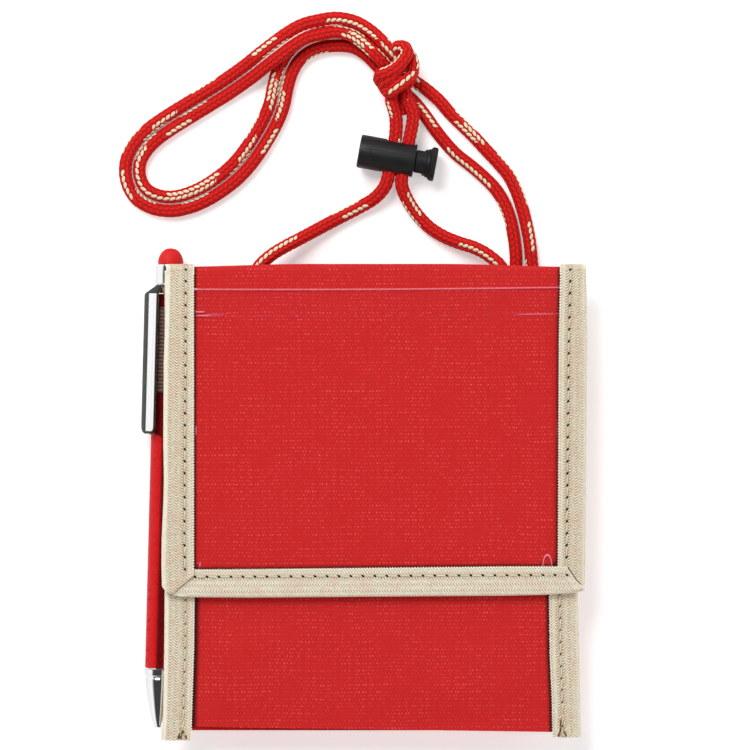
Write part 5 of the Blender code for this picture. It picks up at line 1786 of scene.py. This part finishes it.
class WALLET_OT_pen(bpy.types.Operator):
    """Turn the stylus pen's dome, collar, barrel and nose cone, and draw its clip."""
    bl_idname = "wallet.pen"
    bl_label = "Stylus pen"

    def execute(self, context):
        look = settings("wallet_hardware")
        chrome = metal_finish("bright_chrome", look.chrome, 0.09, 2200.0)
        rubber = moulded_finish("soft_rubber", look.dome, 0.6, 0.00003, Specular_IOR_Level=0.25)
        matrix = pen_matrix()
        dress(lay(self.make_collar(), matrix, 25), chrome, "pen_upper", ["pen_collar"])
        dress(lay(self.make_dome(), matrix, 40), rubber, "pen_upper", ["stylus_dome"])
        barrel = lay(self.make_barrel(), matrix, 25)
        dress(barrel, self.barrel_finish(look), "pen_lower", ["pen_barrel"])
        dress(lay(self.make_nose(), matrix, 25), chrome, "pen_lower", ["pen_nose_cone"])
        clip = self.make_clip()
        # faces that get the darker chrome, a painted dark reflection: the outer strip, the side wall, the free end and
        # the shoulder
        dark_reflection_faces = [face.normal.y < 0.3 and (
            face.center.x < CLIP_CREASE or face.normal.x > 0.5 or face.center.z < CLIP_END + 0.0011
            or face.center.z > CLIP_TOP - 0.0028) for face in clip.data.polygons]
        lay(clip, matrix @ Matrix.Rotation(-math.radians(CLIP_TURN), 4, "Z"), 25)
        dress(clip, chrome, "pen_upper", ["pen_clip"])
        # darker chrome as painted dark reflection
        clip.data.materials.append(metal_finish("chrome_painted_dark_reflection", (0.055, 0.06, 0.055), 0.25, 2200.0))
        for face, dark in zip(clip.data.polygons, dark_reflection_faces):
            face.material_index = int(dark)
        refinish("pen_refill", moulded_finish("ink_plastic", (0.05, 0.06, 0.2), 0.35, 0.00001))
        refinish("pen_point", metal_finish("point_brass", (0.75, 0.55, 0.25), 0.2, 2200.0))
        return {"FINISHED"}

    def make_collar(self):
        """The bright collar, with a ring at its foot and a spigot that goes down into the barrel."""
        ring = COLLAR_RISE + 0.0027
        return turned("pen_collar_turned", [
            (COLLAR_RISE - 0.0065, 0.0027), (COLLAR_RISE, 0.0027), (COLLAR_RISE, 0.00435),
            (COLLAR_RISE + 0.00015, PEN_RADIUS), (ring - 0.00015, PEN_RADIUS), (ring, 0.00438),
            (ring + 0.0001, 0.00428), (ring + 0.0003, COLLAR_RADIUS), (COLLAR_TOP - 0.0005, COLLAR_RADIUS),
            (COLLAR_TOP - 0.0001, 0.0042), (COLLAR_TOP, 0.0039)])

    def make_dome(self):
        """The rubber stylus dome."""
        foot = COLLAR_TOP + 0.00005
        height = PEN_LENGTH - foot
        stations = [(foot, 0.00355), (foot + 0.00012, 0.00370)]
        for degrees in range(4, 90, 7):
            angle = math.radians(degrees)
            stations.append((foot + height * (0.03 + 0.97 * math.sin(angle)), 0.00374 * math.cos(angle) ** 0.86))
        return turned("stylus_tip", stations + [(PEN_LENGTH, 0.00012)])

    def make_barrel(self):
        """The barrel, open at both ends, with its pairs of raised grip dots."""
        low, high = NOSE_LENGTH + GAP - PEN_REACH, COLLAR_RISE - GAP
        pieces = [turned("pen_barrel_turned", [
            (low + 0.003, 0.0030), (low, 0.0030), (low, PEN_RADIUS - 0.0002), (low + 0.0002, PEN_RADIUS),
            (high - 0.0002, PEN_RADIUS), (high, PEN_RADIUS - 0.0002), (high, 0.0030), (high - 0.003, 0.0030)])]
        for column in range(6):
            angle = math.radians(60 * column + GRIP_TURN)
            spot = Vector((math.cos(angle), math.sin(angle), 0)) * (PEN_RADIUS - 0.00004)
            for row in range(6):
                rise = GRIP_RISE + (row // 2) * GRIP_PAIR + (row % 2) * GRIP_PITCH
                deselect()
                bpy.ops.mesh.primitive_uv_sphere_add(
                    segments=10, ring_count=6, radius=GRIP_DOT, location=spot + Vector((0, 0, rise)))
                pieces.append(bpy.context.view_layer.objects.active)
                apply_place(pieces[-1])
        return join("pen_barrel_turned", pieces)

    def make_nose(self):
        """The hollow nose cone with its groove. Its bore narrows to the ball tip's hole."""
        stations = [
            (NOSE_LENGTH + 0.0040, 0.0026), (NOSE_LENGTH, 0.0026), (NOSE_LENGTH, 0.00435),
            (NOSE_LENGTH - 0.00015, PEN_RADIUS), (GROOVE_RISE + 0.0008, PEN_RADIUS), (GROOVE_RISE + 0.0006, 0.0043),
            (GROOVE_RISE + 0.0005, 0.0040), (GROOVE_RISE + 0.0001, 0.0040), (GROOVE_RISE, 0.00432),
            (GROOVE_RISE - 0.0003, 0.00442)]
        for rise, radius in NOSE_SHAPE:
            stations.append((GROOVE_RISE * rise, 0.0012 + (PEN_RADIUS - 0.0012) * radius))
        stations += [(0.0, 0.00075), (0.0014, 0.00075), (0.0017, 0.0016), (NOSE_LENGTH + 0.0030, 0.0016)]
        return turned("pen_nose_turned", [(rise - PEN_REACH, radius) for rise, radius in stations])

    def barrel_finish(self, look):
        """Gloss red with painted shade down the side next to the wallet, wider beneath the clip: the shadow of the tape
        and the clip, and a dark reflection.
        """
        gloss = Finish("gloss_barrel", look.barrel, 0.3, Specular_IOR_Level=0.12)
        place = gloss.object_place()
        near = gloss.node("VectorMath", place, tuple(pen_matrix().translation), operation="SUBTRACT")
        axes = pen_matrix().to_3x3().transposed()
        across = gloss.node("VectorMath", near, tuple(axes[0]), operation="DOT_PRODUCT", output=1)
        rise = gloss.node("VectorMath", near, tuple(axes[2]), operation="DOT_PRODUCT", output=1)
        # painted shade: the shadow of the tape and the clip, and a dark reflection on the gloss
        edge = -0.0013 - rise.remap(CLIP_END - 0.0010, CLIP_END + 0.0006) * 0.0026
        painted_shade_band = (across - edge).remap(-0.0005, 0.0007) * across.remap(0.0004, 0.0016, 1.0, 0.0)
        dust = gloss.noise(place, 3000.0)
        base = gloss.mix(dust.remap(0.5, 0.8, 0.0, 0.15), look.barrel, (1.0, 0.2, 0.2))
        gloss.put("Base Color", gloss.mix(painted_shade_band * 0.9, base, scaled(look.barrel, 0.13, 0.25, 0.25)))
        gloss.put("Roughness", gloss.noise(place, 260.0, 3.0).remap(0.3, 0.7, 0.25, 0.36))
        gloss.put("Normal", gloss.bump(dust, 0.000003))
        return gloss.material

    def make_clip(self):
        """A spring arm with bevelled edges, a sloped shoulder and a pip at its free end."""
        middle = CLIP_INNER + 0.0005
        seat = PEN_RADIUS + 0.0005
        stations = [(middle, CLIP_END + rise, CLIP_WIDTH * share, thick) for rise, share, thick in (
            (0, 0.35, 0.0007), (0.0002, 0.58, 0.0009), (0.0007, 0.82, 0.0010), (0.0015, 0.96, 0.0010),
            (0.0027, 1, 0.0010))]
        stations += [(away, CLIP_TOP - drop, CLIP_WIDTH * share, thick) for away, drop, share, thick in (
            (middle, 0.0030, 1, 0.0010), (middle - 0.0002, 0.0024, 1, 0.0011), (seat + 0.0001, 0.0002, 0.9, 0.0008),
            (seat, 0, 0.82, 0.0007))]
        arm = drawn("pen_clip_drawn", stations)
        edit()
        # the crease splits off the outer strip that gets the painted dark reflection
        bpy.ops.mesh.bisect(plane_co=(CLIP_CREASE, 0, 0), plane_no=(1, 0, 0))
        leave_edit()
        shoulder = CLIP_TOP - 0.0029
        for vertex in arm.data.vertices:
            if vertex.co.x < CLIP_CREASE - 0.0001 and vertex.co.y < -CLIP_INNER - 0.0006:
                vertex.co.y += 0.0002
            if vertex.co.z > shoulder:
                share = (vertex.co.z - shoulder) / (CLIP_TOP - shoulder)
                vertex.co.x = max(vertex.co.x, CLIP_WIDTH * (share * 0.72 - 0.5))
        edit()
        bpy.ops.mesh.bevel(offset=0.00022, segments=2, affect="EDGES")
        leave_edit()
        foot = block("clip_foot", (0, -seat - 0.0001, CLIP_TOP - 0.0026),
                     (CLIP_WIDTH * 0.40, -PEN_RADIUS + 0.0001, CLIP_TOP - 0.0008), 0.0002)
        pip = turned("clip_pip", [(0.0, 0.0014), (0.0005, 0.0012), (0.0009, 0.0008), (0.0011, 0.0003)], 20)
        spot = Matrix.Translation((0, -CLIP_INNER - 0.0001, CLIP_END + 0.0030))
        move(pip, spot @ Matrix.Rotation(math.radians(-90), 4, "X"))
        return join("pen_clip_drawn", [arm, foot, pip])


# Stage

class WALLET_OT_stage(bpy.types.Operator):
    """Set the floor, the soft light and the camera straight above the wallet."""
    bl_idname = "wallet.stage"
    bl_label = "Floor, light and camera"

    def execute(self, context):
        look = settings("wallet_stage")
        middle = at_pixel(MIDDLE, MIDDLE, 0)
        self.make_floor(middle)
        self.make_sky(look)
        self.make_lamp("key_lamp", middle + Vector((-0.45, 0.75, 1.1)), middle, look.key, 0.8)
        self.make_lamp("fill_lamp", middle + Vector((0.9, -0.5, 1.0)), middle, look.fill, 1.1)
        camera = bpy.data.cameras.new("photo_camera")
        camera.sensor_width = 36
        camera.sensor_height = 36
        camera.lens = camera.sensor_width * (look.distance - 0.010) / (PHOTO_SIDE * PIXEL)
        camera.clip_start = 0.05
        view = linked("photo_camera", camera)
        view.location = middle + Vector((0, 0, look.distance))
        context.scene.camera = view
        context.scene.view_settings.view_transform = "Standard"
        return {"FINISHED"}

    def make_floor(self, middle):
        deselect()
        bpy.ops.mesh.primitive_plane_add(size=6, location=middle)
        floor = bpy.context.view_layer.objects.active
        floor.name = "pale_floor"
        apply_place(floor)
        surface = Finish("pale_floor", (0.95, 0.95, 0.95), 0.9, Specular_IOR_Level=0.1)
        fine = surface.noise(surface.object_place(), 40.0, 3.0)
        surface.put("Base Color", surface.mix(fine, (0.955, 0.955, 0.955), (0.94, 0.94, 0.94)))
        surface.put("Emission Color", (1, 1, 1))
        seen_by_camera = surface.node("LightPath")
        surface.put("Emission Strength", seen_by_camera * 0.36)
        floor.data.materials.append(surface.material)

    def make_sky(self, look):
        """A bright band low all round, darker overhead where the camera stands."""
        world = bpy.data.worlds.new("studio_sky")
        world.use_nodes = True
        tree = world.node_tree
        background = tree.nodes["Background"]
        background.inputs["Color"].default_value = (1, 1, 1, 1)
        place = tree.nodes.new("ShaderNodeTexCoord")
        parts = tree.nodes.new("ShaderNodeSeparateXYZ")
        tree.links.new(place.outputs["Generated"], parts.inputs[0])
        rise = tree.nodes.new("ShaderNodeMapRange")
        rise.interpolation_type = "SMOOTHSTEP"
        for socket, value in zip(("From Min", "From Max", "To Min", "To Max"), (0.35, 0.65, look.sky, look.sky * 0.05)):
            rise.inputs[socket].default_value = value
        tree.links.new(parts.outputs[2], rise.inputs["Value"])
        tree.links.new(rise.outputs[0], background.inputs["Strength"])
        bpy.context.scene.world = world

    def make_lamp(self, name, place, target, power, size):
        data = bpy.data.lights.new(name, "AREA")
        data.shape = "DISK"
        data.size = size
        data.energy = power
        lamp = linked(name, data)
        lamp.location = place
        lamp.rotation_euler = (target - place).to_track_quat("-Z", "Y").to_euler()


PIECES = (
    WALLET_OT_stage, WALLET_OT_cord, WALLET_OT_cord_lock, WALLET_OT_pouch, WALLET_OT_flap,
    WALLET_OT_loops, WALLET_OT_pen,
)


class WALLET_PT_panel(bpy.types.Panel):
    """Lists the wallet's settings and the steps that dress it."""
    bl_idname = "WALLET_PT_panel"
    bl_label = "Neck wallet"
    bl_space_type = "VIEW_3D"
    bl_region_type = "UI"
    bl_category = "Neck wallet"

    def draw(self, context):
        for name, group in SETTINGS:
            box = self.layout.box()
            for setting in group.__annotations__:
                box.prop(getattr(context.scene, name), setting)
        for piece in PIECES:
            self.layout.operator(piece.bl_idname)


def register():
    for name, group in SETTINGS:
        bpy.utils.register_class(group)
        setattr(bpy.types.Scene, name, PointerProperty(type=group))
    for piece in PIECES:
        bpy.utils.register_class(piece)
    bpy.utils.register_class(WALLET_PT_panel)


def unregister():
    bpy.utils.unregister_class(WALLET_PT_panel)
    for piece in reversed(PIECES):
        bpy.utils.unregister_class(piece)
    for name, group in reversed(SETTINGS):
        delattr(bpy.types.Scene, name)
        bpy.utils.unregister_class(group)


def main():
    register()
    for piece in PIECES:
        group, name = piece.bl_idname.split(".")
        getattr(getattr(bpy.ops, group), name)()


if __name__ == "__main__":
    main()
